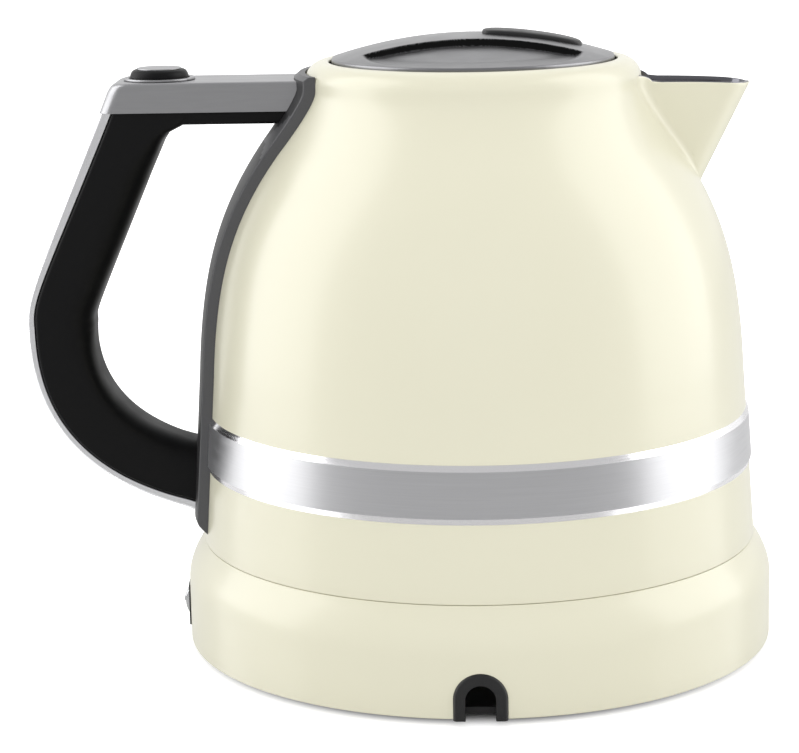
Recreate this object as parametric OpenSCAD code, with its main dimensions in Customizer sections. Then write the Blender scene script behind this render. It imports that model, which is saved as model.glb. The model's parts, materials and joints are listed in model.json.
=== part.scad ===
// Electric kettle with a lift-off jug, a 360 degree power base and a push-button lid.
// Millimetres. +Z is up, +X points to the spout and -X to the handle.
// The origin is on the jug's axis, on the surface that the rubber feet stand on.

/* [Power base] */
// Outer diameter of the base at its skirt
base_d = 217.4; // [205:0.2:235]
// Height of the base's top edge above the table
base_h = 40.6; // [36:0.2:46]
// Wall of the base housing
base_wall = 2.4; // [1.6:0.1:3.2]
// Gap between the table and the housing's lower edge
base_gap = 2.5; // [2:0.1:4]
// Height of the straight skirt's top edge
skirt_h = 24; // [22:0.5:26]
// Thickness of the deck that the jug stands on
deck_t = 2.4; // [1.6:0.1:3.2]
// Thickness of the base's bottom pan
pan_t = 2.4; // [1.6:0.1:3.2]
// Diameter of each rubber foot
foot_d = 16; // [10:1:22]
// Radius on which the feet and pan screws are set
foot_ring_r = 88; // [80:1:94]

/* [Jug body] */
// Diameter of the jug's lower edge
body_foot_d = 205.2; // [198:0.2:212]
// Diameter where the straight wall turns into the dome
body_waist_d = 196.6; // [190:0.2:200]
// Height of the straight wall above the jug's lower edge
waist_rise = 63; // [56:1:68]
// Height of the dome, from the straight wall up to the neck's flare
dome_rise = 81.7; // [76:0.1:88]
// Diameter where the dome meets the neck's flare
flare_d = 146.2; // [140:0.2:152]
// Diameter of the neck
neck_d = 121.6; // [119:0.2:125]
// Height of the neck, from the flare to the start of the rolled rim
neck_rise = 23.3; // [20:0.1:28]
// Outer radius of the rolled rim
rim_roll = 7; // [6:0.5:8]
// Sheet thickness of the outer shell
shell_t = 1.5; // [1:0.1:2]
// Air gap between the outer shell and the water vessel
wall_gap = 5.5; // [4.5:0.1:6.5]
// Sheet thickness of the water vessel
vessel_t = 1.2; // [1:0.1:1.8]
// Height of the vessel's floor above the jug's lower edge
floor_rise = 31; // [30:0.5:38]
// Distance of the trim band's lower edge above the jug's lower edge
band_rise = 27.5; // [24:0.5:34]
// Height of the trim band
band_w = 20.3; // [12:0.1:26]
// How far the trim band stands proud of the shell
band_t = 0.8; // [0.5:0.1:1.4]

/* [Lid] */
// Diameter of the lid's metal cover
lid_d = 102.4; // [96:0.2:103]
// Height of the dome above the lid's edge
lid_crown = 7.9; // [6:0.1:10]
// Depth of the two finger recesses below the crown
recess_depth = 2.5; // [1.5:0.1:3]
// Half the width of the ridge between the recesses, at its middle
ridge_half = 16; // [12:0.5:18]
// How much wider the ridge is at its ends than at its middle
recess_bow = 2; // [1:0.5:6]
// Sheet thickness of the lid's cover
cover_t = 1.2; // [1:0.1:1.5]
// Distance of the hinge pin behind the jug's axis
hinge_back = 41; // [39:0.5:42]
// Diameter of the hinge pin
pin_d = 1.8; // [1.5:0.1:2]
// Length of the rubber grip pad on the ridge
pad_len = 36; // [24:1:40]

/* [Spout] */
// Reach of the spout's tip from the jug's axis
spout_reach = 98.8; // [92:0.1:106]
// Height of the spout's rim below the top of the jug
spout_drop = 9; // [7:0.5:11]
// Depth of the spout, from its rim to its lowest point
spout_depth = 37; // [34:0.5:40]
// Radius of the spout's nose at the rim
nose_r = 10.5; // [9:0.1:12]
// Radius of the spout's nose at its lowest point
nose_low_r = 9; // [7.5:0.1:10]
// Half the spread between the spout's two sides, in degrees
spout_spread = 4; // [2:0.5:7]

/* [Handle] */
// Width of the bracket along the back of the jug
bracket_w = 48; // [40:1:56]
// Thickness of the bracket
bracket_t = 4; // [3:0.1:5]
// Width of the handle's arm and grip
handle_w = 30; // [24:1:34]
// Height of the arm's cast cover
arm_h = 10.7; // [9.5:0.1:12.5]
// Height of the black liner under the arm
liner_h = 4.6; // [3:0.1:5]
// Reach of the arm's end from the jug's axis
arm_reach = 126; // [122:0.5:132]
// Reach of the grip's outermost point from the jug's axis
grip_reach = 164.5; // [160:0.1:172]
// Height of the grip's outermost point
grip_mid_z = 120.5; // [110:0.5:126]
// Thickness of the grip, across the fingers
grip_t = 23.8; // [22:0.1:30]
// Thickness of the metal spine on the grip's back
spine_t = 4; // [2.5:0.1:5]
// Diameter of the lid's release button
button_d = 21.2; // [18:0.1:22]
// Travel of the release button
button_travel = 3; // [2:0.1:3]

/* [Fits] */
// Clearance between parts that slide or lift past each other
slide_gap = 0.4; // [0.3:0.05:0.6]
// Radial clearance of each hinge pin in its bore
pin_gap = 0.05; // [0.02:0.01:0.1]
// Clearance between fixed neighbours
seat_gap = 0.2; // [0.1:0.05:0.3]

/* [Hidden] */
$fn = 96;
eps = 0.01;
// Reach of a cut that has to pass right out of the model.
far = 300;

// Heights of the jug, worked out from the base up.
jug_z = base_h + slide_gap;
waist_z = jug_z + waist_rise;
flare_z = waist_z + dome_rise;
roll_z = flare_z + neck_rise;
top_z = roll_z + rim_roll;
floor_z = jug_z + floor_rise;

// Radii of the jug.
base_r = base_d / 2;
foot_r = body_foot_d / 2;
waist_r = body_waist_d / 2;
flare_r = flare_d / 2;
neck_r = neck_d / 2;
lid_r = lid_d / 2;
mouth_r = lid_r + 1;

// --- Curves -----------------------------------------------------------------

function unit(v) = v / norm(v);
function bezier(a, b, c, d, n) = [
    for (i = [0:n])
        let (t = i / n, u = 1 - t)
            u * u * u * a + 3 * u * u * t * b + 3 * u * t * t * c + t * t * t * d
];
function arc(centre, r, a0, a1, n) = [
    for (i = [0:n])
        let (a = a0 + (a1 - a0) * i / n)
            centre + r * [cos(a), sin(a)]
];
function tail(path) = [for (i = [1:len(path) - 1]) path[i]];
function flip(path) = [for (i = [len(path) - 1:-1:0]) path[i]];
// Normal of an open path at point i, on the right-hand side of its direction.
function path_normal(path, i) =
    let (
        before = path[max(i - 1, 0)],
        after = path[min(i + 1, len(path) - 1)],
        along = unit(after - before)
    )
    [along.y, -along.x];
// The path moved sideways: outwards with d above 0, inwards with d below 0.
function shifted(path, d) = [for (i = [0:len(path) - 1]) path[i] + d * path_normal(path, i)];
function between(path, z0, z1) = [for (p = path) if (p.y > z0 && p.y < z1) p];
// Radius of a rising profile at height z.
function radius_at(path, z) =
    let (hits = [
        for (i = [0:len(path) - 2])
            if (path[i].y <= z && path[i + 1].y > z)
                path[i].x + (path[i + 1].x - path[i].x) * (z - path[i].y) / (path[i + 1].y - path[i].y)
    ])
    hits[0];

// Outer profile of the jug, from its lower edge to the start of the rolled rim.
jug_wall = concat(
    [[foot_r, jug_z]],
    bezier(
        [waist_r, waist_z], [waist_r - 1.8, waist_z + dome_rise * 0.437],
        [flare_r + 17.5, flare_z - dome_rise * 0.302], [flare_r, flare_z], 18
    ),
    tail(bezier(
        [flare_r, flare_z], [flare_r - 1.2, flare_z + 1.6],
        [neck_r, roll_z - 7], [neck_r, roll_z - 2], 8
    )),
    [[neck_r, roll_z]]
);
jug_roll = arc([neck_r - rim_roll, roll_z], rim_roll, 0, 90, 8);
jug_roll_inner = arc([neck_r - rim_roll, roll_z], rim_roll - shell_t, 90, 0, 8);
jug_outer = concat(jug_wall, tail(jug_roll));
shell_inner = shifted(jug_wall, -shell_t);
vessel_outer = shifted(jug_wall, -shell_t - wall_gap);
vessel_inner = shifted(jug_wall, -shell_t - wall_gap - vessel_t);
bracket_back = shifted(jug_wall, bracket_t);

// --- Solids used by several parts -------------------------------------------

module ring(r_in, r_out, z0, z1) {
    translate([0, 0, z0]) difference() {
        cylinder(r = r_out, h = z1 - z0);
        translate([0, 0, -1]) cylinder(r = r_in, h = z1 - z0 + 2);
    }
}
module disc(r, z0, z1) { translate([0, 0, z0]) cylinder(r = r, h = z1 - z0); }
module box(x0, x1, y0, y1, z0, z1) { translate([x0, y0, z0]) cube([x1 - x0, y1 - y0, z1 - z0]); }
// A block from x0 to x1 that is as wide on both sides of the XZ plane.
module slab(x0, x1, half_y, z0, z1) { box(x0, x1, -half_y, half_y, z0, z1); }
// An outline drawn in X and Z, made half_y thick on both sides of the XZ plane.
module side_plate(points, half_y) {
    translate([0, half_y, 0]) rotate([90, 0, 0]) linear_extrude(2 * half_y) polygon(points);
}
// A cylinder along Y, centred on the XZ plane.
module cross_rod(x, z, r, half_y) {
    translate([x, half_y, z]) rotate([90, 0, 0]) cylinder(r = r, h = 2 * half_y, $fn = 48);
}
module on_circle(r, count, start = 0) {
    for (i = [0:count - 1]) rotate(start + 360 * i / count) translate([r, 0, 0]) children();
}
// A closed solid through rings of points, each ring with as many points.
module skin(rings) {
    n = len(rings[0]);
    m = len(rings);
    polyhedron(
        points = [for (loop = rings) for (p = loop) p],
        faces = concat(
            [[for (j = [0:n - 1]) j]],
            [for (i = [0:m - 2]) for (j = [0:n - 1])
                [i * n + j, (i + 1) * n + j, (i + 1) * n + (j + 1) % n]],
            [for (i = [0:m - 2]) for (j = [0:n - 1])
                [i * n + j, (i + 1) * n + (j + 1) % n, i * n + (j + 1) % n]],
            [[for (j = [n - 1:-1:0]) (m - 1) * n + j]]
        )
    );
}
// A round wire along a path in space, kept square to the path.
module wire(path, r, sides = 8) {
    last = len(path) - 1;
    skin([
        for (i = [0:last])
            let (
                t = unit(path[min(i + 1, last)] - path[max(i - 1, 0)]),
                side = unit(cross(t, abs(t.z) < 0.9 ? [0, 0, 1] : [1, 0, 0])),
                up = cross(side, t)
            )
            [for (j = [0:sides - 1]) path[i] + r * (cos(360 * j / sides) * side - sin(360 * j / sides) * up)]
    ]);
}
function coil(r, z0, z1, turns, steps = 14) = [
    for (i = [0:turns * steps])
        [r * cos(360 * i / steps), r * sin(360 * i / steps), z0 + (z1 - z0) * i / (turns * steps)]
];
// The space inside a profile, up to the axis, as a solid of revolution.
module inside(path) {
    rotate_extrude() polygon(concat([[0, path[0].y]], path, [[0, path[len(path) - 1].y]]));
}

// --- Power base --------------------------------------------------------------

pan_z = 1.6;
pan_top = pan_z + pan_t;
lip_t = 2;
deck_top = base_h - lip_t - seat_gap;
deck_z = deck_top - deck_t;
flare_half = (base_h - 0.6 - skirt_h) / 2;
step_in = (base_r - foot_r) / 2;
// Radius of the two arcs that make the base's shoulder.
shoulder_r = (flare_half * flare_half + step_in * step_in) / (2 * step_in);
shoulder_a = asin(flare_half / shoulder_r);
base_outer = concat(
    arc([base_r - 1.5, base_gap + 1.5], 1.5, -90, 0, 4),
    arc([base_r - shoulder_r, skirt_h], shoulder_r, 0, shoulder_a, 8),
    tail(arc([foot_r + shoulder_r, skirt_h + 2 * flare_half], shoulder_r, 180 + shoulder_a, 180, 8)),
    [[foot_r, base_h]]
);
base_shoulder = concat(
    [[base_r, base_gap]],
    arc([base_r - shoulder_r, skirt_h], shoulder_r, 0, shoulder_a, 8),
    tail(arc([foot_r + shoulder_r, skirt_h + 2 * flare_half], shoulder_r, 180 + shoulder_a, 180, 8)),
    [[foot_r, base_h]]
);
base_inner = shifted(base_shoulder, -base_wall);
lip_r = foot_r - 5.2;
deck_r = foot_r - base_wall - seat_gap;

// The cord's way out: an arch through the front of the base.
arch_w = 18.8;
arch_h = 18.8;
arch_wall = 4.2;
// The rocker that switches the base on, under the handle.
lever_r = 8;
lever_half = 6;
lever_x = -(base_r - lever_r + 2);
lever_z = 14;
lever_pin_r = 1.5;
// The temperature slider, on the side away from the cord.
track_z0 = 8;
track_z1 = 18.5;
track_t = 1.2;
track_half = 34;
slot_half = 26;
slot_z = (track_z0 + track_z1) / 2;
slot_h = 3.4;
knob_h = 8;
// The round connector that the jug turns on.
post_r = 15.6;
post_top = deck_top + 18;
post_slot = [7.8, 10.2];
post_hole_r = 3.2;

// A sector of a ring, from r0 to r1 and z0 to z1, half degrees on each side of a heading.
module sector(r0, r1, z0, z1, heading, half) {
    rotate(heading - half) rotate_extrude(angle = 2 * half)
        polygon([[r0, z0], [r1, z0], [r1, z1], [r0, z1]]);
}
// A block with a round top, from the height bottom up to top and from y0 to y1.
module arch(half_w, top, bottom, y0, y1) {
    translate([0, y1, 0]) rotate([90, 0, 0]) linear_extrude(y1 - y0) intersection() {
        translate([-half_w, bottom]) square([2 * half_w, top - bottom]);
        hull() {
            translate([0, top - half_w]) circle(r = half_w);
            translate([-half_w, bottom - half_w]) square([2 * half_w, half_w]);
        }
    }
}
module base_housing() {
    color("#E9E6D2") difference() {
        rotate_extrude($fn = 144) polygon(concat(
            base_outer, [[lip_r, base_h], [lip_r, base_h - lip_t], [foot_r - base_wall, base_h - lip_t]],
            flip(between(base_inner, skirt_h, base_h - lip_t - 0.05)),
            [[base_r - base_wall, skirt_h], [base_r - base_wall, base_gap]]
        ));
        arch(arch_w / 2, arch_h, base_gap - 2, -base_r - 2, -base_r + 12);
        slab(-base_r - 1, -base_r + 8, lever_half + slide_gap, lever_z - lever_r + 0.2, lever_z + lever_r - 0.2);
        sector(base_r - track_t, base_r + 1, track_z0, track_z1, 90, track_half);
        sector(base_r - 6, base_r + 1, slot_z - slot_h / 2, slot_z + slot_h / 2, 90, slot_half);
    }
}
module base_deck() {
    color("#2A2A2C") {
        difference() {
            disc(deck_r, deck_z, deck_top);
            disc(post_r + seat_gap, deck_z - 1, deck_top + 1);
        }
        on_circle(foot_ring_r, 4, 45) difference() {
            translate([0, 0, pan_top + seat_gap]) cylinder(r = 4.5, h = deck_z - pan_top - seat_gap + eps);
            translate([0, 0, pan_top]) cylinder(r = 1.3, h = 14);
        }
    }
}
pan_r = base_r - base_wall - 0.3;
// The control board, on four posts of the pan.
board_z = pan_top + 5;
board_t = 1.6;
board_half = 43;
board_y = [13, 77];
module board_posts() {
    for (x = [-board_half + 5, board_half - 5], y = [board_y[0] + 5, board_y[1] - 5]) translate([x, y, 0]) children();
}
// A stiffening rim on the pan, set in from its edge.
rim_in = 4;
rim_t = 2;
module base_pan() {
    color("#232325") difference() {
        union() {
            disc(pan_r, pan_z, pan_top);
            ring(pan_r - rim_in - rim_t, pan_r - rim_in, pan_top - eps, pan_top + 3);
            board_posts() translate([0, 0, pan_top - eps]) cylinder(r = 3, h = board_z - pan_top);
        }
        on_circle(foot_ring_r, 4, 45) translate([0, 0, pan_z - 1]) {
            cylinder(r = 1.7, h = 10);
            cylinder(r = foot_d / 2 - 4, h = 1.6);
        }
        arch(arch_w / 2 + seat_gap, arch_h, pan_z - 1, -base_r - 2, -base_r + 9);
        slab(-pan_r - 1, -pan_r + rim_in + rim_t + 1, 10, pan_top, pan_top + 5);
        sector(pan_r - 9, pan_r + 1, pan_top, pan_top + 5, 90, track_half + 4);
    }
}
module rubber_feet() {
    color("#151515") on_circle(foot_ring_r, 4, 45) difference() {
        union() {
            cylinder(r = foot_d / 2, h = pan_z);
            translate([0, 0, pan_z - eps]) cylinder(r = foot_d / 2 - 4 - 0.05, h = 0.6);
        }
        translate([0, 0, -1]) cylinder(r = 2.4, h = 6);
    }
}
module pan_screws() {
    color("#8C8F93") on_circle(foot_ring_r, 4, 45) translate([0, 0, 0.5]) {
        difference() {
            cylinder(r = 2.2, h = 1.7);
            translate([-1.6, -0.35, -1]) cube([3.2, 0.7, 1.7]);
        }
        translate([0, 0, 1.6]) cylinder(r = 1.25, h = 12);
    }
}
module cord_grommet() {
    front = -base_r - 0.7;
    color("#1B1B1C") difference() {
        union() {
            arch(arch_w / 2 - 0.05, arch_h - 0.05, pan_z + 0.2, front, -base_r + 8.9);
            arch(arch_w / 2 + 1.8, arch_h + 1.8, pan_top + seat_gap, -base_r + base_wall + 0.9, -base_r + 5);
        }
        arch(arch_w / 2 - arch_wall, arch_h - arch_wall - 0.7, pan_top + 0.1, front - 1, -base_r + 12);
    }
}
module connector_socket() {
    color("#2E2E30") difference() {
        union() {
            disc(post_r, deck_z - 3, post_top);
            disc(post_r + 6.5, deck_z - 3, deck_z - seat_gap);
        }
        ring(post_slot[0], post_slot[1], deck_top + 2, post_top + 1);
        disc(post_hole_r, deck_top + 2, post_top + 1);
    }
}
module socket_contacts() {
    color("#C9A24B") {
        ring(post_slot[0] + 0.2, post_slot[1] - 0.2, deck_top + 2, deck_top + 5);
        ring(2.15, post_hole_r - 0.1, deck_top + 2, post_top - 4);
        for (x = [-tab_pitch, 0, tab_pitch]) box(x - 2.5, x + 2.5, -0.4, 0.4, deck_z - 3 - tab_h, deck_z - 3);
    }
}
terminal_half = 17;
terminal_y = [-74, -62];
terminal_h = 13;
pole_pitch = 11;
tab_pitch = 8;
tab_h = 8;
module terminal_block() {
    mid_y = (terminal_y[0] + terminal_y[1]) / 2;
    color("#D8D4C8") difference() {
        box(-terminal_half, terminal_half, terminal_y[0], terminal_y[1], pan_top, pan_top + terminal_h);
        for (x = [-pole_pitch, 0, pole_pitch]) translate([x, mid_y, pan_top + 5]) {
            cylinder(r = 2.6, h = terminal_h, $fn = 32);
            rotate([90, 0, 0]) cylinder(r = 2, h = terminal_h, $fn = 32);
        }
    }
}
module mains_wires() {
    z0 = pan_top + 8;
    z1 = deck_z - 3 - tab_h / 2;
    y0 = terminal_y[1] + 0.05;
    color("#7A4A2A") for (i = [-1, 0, 1]) wire(
        [for (k = [0:8]) let (t = k / 8, s = t * t * (3 - 2 * t))
            [i * (pole_pitch + (tab_pitch - pole_pitch) * s), y0 * (1 - t) - 0.58 * t, z0 + (z1 - z0) * s]], 1.3
    );
}
module control_board() {
    color("#2F6B3F") difference() {
        box(-board_half, board_half, board_y[0], board_y[1], board_z, board_z + board_t);
        board_posts() translate([0, 0, board_z - 1]) cylinder(r = 1.6, h = 4, $fn = 32);
    }
}
// What stands on the board: a relay, a transformer, a chip, two capacitors and a row of resistors.
relay = [20, 16, 15];
transformer = [28, 20, 12];
chip = [12, 8, 3];
capacitor = [6, 14];
small_capacitor = [4, 11];
resistor = [2.4, 8, 2];
module board_components() {
    back_y = board_y[1] - 21;
    color("#3A3D42") translate([0, 0, board_z + board_t]) {
        translate([-board_half + 9, back_y - relay.y, 0]) cube(relay);
        translate([-board_half + 35, back_y - transformer.y + 8, 0]) cube(transformer);
        translate([board_half - 19, back_y - chip.y, 0]) cube(chip);
        translate([board_half - 13, board_y[0] + 19, 0]) cylinder(r = capacitor[0], h = capacitor[1], $fn = 48);
        translate([-board_half + 23, board_y[0] + 15, 0])
            cylinder(r = small_capacitor[0], h = small_capacitor[1], $fn = 48);
        for (i = [0:4]) translate([resistor.x * (1.7 * i - 1.7), board_y[0] + 9, 0]) cube(resistor);
    }
}
module power_switch() {
    color("#2B2B2E") difference() {
        union() {
            slab(lever_x + lever_r + 0.8, lever_x + lever_r + 16, 8.6, pan_top, lever_z + 8);
            for (s = [-1, 1]) translate([0, s * (lever_half + slide_gap + 1), 0])
                slab(lever_x - 2.4, lever_x + lever_r + 0.9, 1, lever_z - 3, lever_z + 3);
        }
        cross_rod(lever_x, lever_z, lever_pin_r + pin_gap, 12);
    }
}
module switch_bezel() {
    color("#1D1D1F") difference() {
        intersection() {
            ring(base_r + 0.02, base_r + 0.7, lever_z - 8.3, lever_z + 7.2);
            slab(-base_r - 2, -base_r + 6, 9.5, 0, 40);
        }
        slab(-base_r - 2, -base_r + 6, lever_half + slide_gap, lever_z - 5.8, lever_z + 5.8);
    }
}
module power_lever() {
    color("#C8CACC") {
        cross_rod(lever_x, lever_z, lever_r, lever_half);
        cross_rod(lever_x, lever_z, lever_pin_r, lever_half + slide_gap + 2);
        // Raised ridge for the finger, on the outer side of the drum.
        translate([lever_x, 0, lever_z]) rotate([0, 8, 0])
            slab(-lever_r - 0.5, -lever_r + 0.6, lever_half, -0.9, 0.9);
    }
}
module slider_track() {
    color("#2B2B2D") difference() {
        sector(base_r - track_t + 0.05, base_r + 0.3, track_z0 + 0.1, track_z1 - 0.1, 90, track_half - 0.1);
        sector(base_r - 6, base_r + 1, slot_z - slot_h / 2, slot_z + slot_h / 2, 90, slot_half);
    }
}
module slider_knob() {
    stem_h = slot_h - 2 * slide_gap;
    color("#D2D4D6") {
        sector(base_r + 0.6, base_r + 4.6, slot_z - knob_h / 2, slot_z + knob_h / 2, 90, 2);
        sector(base_r - 5.4, base_r + 0.7, slot_z - stem_h / 2, slot_z + stem_h / 2, 90, 1);
        sector(base_r - 5.4, base_r - base_wall - slide_gap, slot_z - knob_h / 2, slot_z + knob_h / 2, 90, 2.5);
    }
}
module slider_sensor() {
    color("#3B6E52") sector(base_r - 7.6, base_r - 6, pan_top, track_z1, 90, slot_half + 4);
}

// --- Turning connector under the jug -----------------------------------------

plug_r = 24;
plug_top = post_top + 3.6;
module connector_plug() {
    color("#2E2E30") difference() {
        union() {
            disc(plug_r, jug_z + 0.4, plug_top);
            disc(plug_r + 3.5, jug_z + cover_floor + seat_gap, jug_z + cover_floor + 1.8);
        }
        disc(post_r + slide_gap, jug_z - 1, post_top + 1);
    }
}
module plug_contacts() {
    color("#C9A24B") {
        disc(1.9, deck_top + 6, post_top + 1);
        ring(8.4, 9.6, deck_top + 6, post_top + 1);
    }
}

// --- Jug ---------------------------------------------------------------------

// Spout: a slanted trough with a rounded nose. inset thins it on every side.
spout_rim_z = top_z - spout_drop;
spout_low_z = spout_rim_z - spout_depth;
spout_foot_x = radius_at(jug_wall, spout_low_z) - 0.6;
module spout_wedge(inset, top = 0) {
    root_x = neck_r - 26;
    nose_x = spout_reach - nose_r;
    half_w = nose_r + (nose_x - root_x) * tan(spout_spread);
    lean = (nose_x - spout_foot_x + nose_low_r) / spout_depth;
    hull() {
        translate([0, 0, spout_rim_z + top]) linear_extrude(0.1) {
            translate([nose_x + top * lean, 0]) circle(r = nose_r - inset, $fn = 48);
            translate([root_x, 0]) square([0.1, 2 * (half_w - inset)], center = true);
        }
        translate([0, 0, spout_low_z + inset * 2.2]) linear_extrude(0.1) {
            translate([spout_foot_x - nose_low_r - inset, 0]) circle(r = nose_low_r - inset, $fn = 48);
            translate([root_x, 0]) square([0.1, 2 * (nose_low_r - inset)], center = true);
        }
    }
}
// The rim slopes down by this angle towards the spout's tip.
rim_tilt = 1.8;
module above_rim(drop = 0) {
    translate([spout_reach, 0, spout_rim_z - drop]) rotate([0, rim_tilt, 0])
        slab(-spout_reach, 20, 60, 0, 40);
}
spout_t = 1.6;
liner_t = 1;
// Top of the hole in the shell that the water pours through.
pour_z = spout_rim_z - 12;
module spout() {
    color("#E9E6D2") difference() {
        spout_wedge(0, 4);
        spout_wedge(spout_t, 4.5);
        above_rim();
        inside(jug_outer);
        translate([0, 0, top_z - 1]) cylinder(r = neck_r - 1, h = 20);
    }
}
module spout_liner() {
    color("#55575A") difference() {
        spout_wedge(spout_t + 0.1, 4.5);
        spout_wedge(spout_t + liner_t + 0.1, 5);
        above_rim(0.8);
        inside(concat(
            between(vessel_outer, 0, pour_z),
            [for (p = concat([[radius_at(jug_wall, pour_z), pour_z]], between(jug_wall, pour_z, roll_z)))
                p + [0.05, 0]],
            [[neck_r + 0.05, roll_z + 10]]
        ));
    }
}
// Handle-side openings and the thermometer's hole, shared by the shell and the bracket.
window_half = 5;
window_z = [jug_z + 48, jug_z + 118];
rod_half = 6;
rod_t = 3;
arm_top = top_z - 6;
arm_low = arm_top - arm_h;
rod_z = arm_low + 0.6;
dial_z = waist_z + 22;
dial_r = 23;
thermo_r = 20;
dial_y = radius_at(jug_wall, dial_z);
// The dial leans back with the wall behind it.
dial_tilt = atan((radius_at(jug_wall, dial_z - dial_r) - radius_at(jug_wall, dial_z + dial_r)) / (2 * dial_r));
module outer_shell() {
    color("#E9E6D2") difference() {
        rotate_extrude($fn = 144) polygon(concat(
            jug_outer, [[mouth_r, top_z], [mouth_r, top_z - shell_t]],
            jug_roll_inner, flip(between(shell_inner, jug_z + 1, roll_z - 0.1)),
            [[foot_r - shell_t, jug_z]]
        ));
        intersection() {
            spout_wedge(spout_t + 0.1, 4);
            slab(0, far, far, 0, pour_z);
        }
        slab(-far, -lid_r * 0.8, rod_half + slide_gap, rod_z - slide_gap, rod_z + rod_t + slide_gap);
        slab(-far, -flare_r, window_half + 2, window_z[0] - 2, window_z[1] + 2);
        translate([0, dial_y, dial_z]) rotate([dial_tilt - 90, 0, 0])
            translate([0, 0, -12]) cylinder(r = thermo_r + 0.3, h = 40);
        screw_holes(1.3);
    }
}
module inner_vessel() {
    top = spout_rim_z - 11;
    neck_in = mouth_r - 6;
    bottom_r = radius_at(vessel_outer, floor_z + 5);
    color("#B9BCC0") difference() {
        rotate_extrude($fn = 144) polygon(concat(
            [[0, floor_z - vessel_t]],
            arc([bottom_r - 6, floor_z - vessel_t + 6], 6, -90, 0, 6),
            between(vessel_outer, floor_z + 6, top - 0.2),
            [[radius_at(vessel_outer, top), top], [neck_in, top], [neck_in, top - vessel_t],
             [radius_at(vessel_inner, top - vessel_t), top - vessel_t]],
            flip(between(vessel_inner, floor_z + 6, top - vessel_t - 0.2)),
            arc([bottom_r - 6, floor_z - vessel_t + 6], 6 - vessel_t, 0, -90, 6),
            [[0, floor_z]]
        ));
        intersection() {
            spout_wedge(spout_t + liner_t + 0.3, 4);
            slab(0, far, far, 0, top - 3);
        }
        slab(-far, -neck_r, window_half - 2, window_z[0] + 2, window_z[1] - 2);
    }
}
heater_r = 64;
heater_t = 3;
heater_z = floor_z - vessel_t - 0.05 - heater_t;
module heater_plate() {
    color("#A8ABAF") disc(heater_r, heater_z, heater_z + heater_t);
}
element_r = 44;
element_d = 6.6;
element_half = 150;
element_leg = 9;
element_z = heater_z - 0.05 - element_d / 2;
module heating_element() {
    color("#8F8A84") {
        rotate(-element_half) rotate_extrude(angle = 2 * element_half) translate([element_r, element_z])
            circle(d = element_d, $fn = 32);
        for (a = [-element_half, element_half]) rotate(a)
            translate([element_r, 0, element_z - element_leg]) cylinder(d = element_d, h = element_leg);
    }
}
control_r = 21;
control_box = [16, 34];
module kettle_control() {
    color("#303236") difference() {
        union() {
            disc(control_r, plug_top + slide_gap, heater_z);
            box(-control_box.x, control_box.x, control_r - 3, control_box.y, plug_top + slide_gap, heater_z);
        }
        disc(3, plug_top, floor_z);
    }
}
cover_floor = 2.2;
cover_r = foot_r - shell_t - 1.6;
cover_rim = 15;
// The ring that the jug stands on, and the posts that hold the cover up to the vessel.
stand_r = cover_r - 11.5;
stand_t = 4;
cover_post_r = 4.5;
cover_ring_r = stand_r - stand_t - 12;
cover_screw_r = 1.6;
cover_head_r = 3.2;
module bottom_cover() {
    color("#252527") difference() {
        union() {
            disc(cover_r, jug_z + 0.3, jug_z + cover_floor);
            ring(cover_r - 2, cover_r, jug_z + 0.3, jug_z + cover_rim);
            ring(stand_r - stand_t, stand_r, deck_top, jug_z + 0.4);
            on_circle(cover_ring_r, 3, 30) translate([0, 0, jug_z + 0.5])
                cylinder(r = cover_post_r, h = floor_rise - vessel_t - 0.55);
        }
        disc(plug_r + 0.3, jug_z - 5, jug_z + 10);
        on_circle(cover_ring_r, 3, 30) translate([0, 0, jug_z - 1]) {
            cylinder(r = cover_screw_r + 0.1, h = floor_rise - 8);
            cylinder(r = cover_head_r + slide_gap, h = 2.2);
        }
    }
}
module bottom_screws() {
    color("#8C8F93") on_circle(cover_ring_r, 3, 30) translate([0, 0, jug_z - 0.1]) {
        difference() {
            cylinder(r = cover_head_r, h = 1.2);
            slab(-0.75 * cover_head_r, 0.75 * cover_head_r, 0.4, -1, 0.6);
        }
        translate([0, 0, 1.1]) cylinder(r = cover_screw_r, h = floor_rise - 17);
    }
}
band_z = jug_z + band_rise;
module trim_band() {
    skirt = radius_at(jug_wall, band_z);
    head = radius_at(jug_wall, band_z + band_w);
    color("#B7B7B9") difference() {
        rotate_extrude($fn = 144) polygon([
            [skirt + 0.02, band_z], [skirt + 0.35, band_z], [skirt + band_t, band_z + 2],
            [head + band_t, band_z + band_w - 2], [head + 0.35, band_z + band_w],
            [head + 0.02, band_z + band_w]
        ]);
        slab(-far, 0, bracket_w / 2 + 0.1, 0, far);
    }
}

// --- Lid and its collar --------------------------------------------------------

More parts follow.
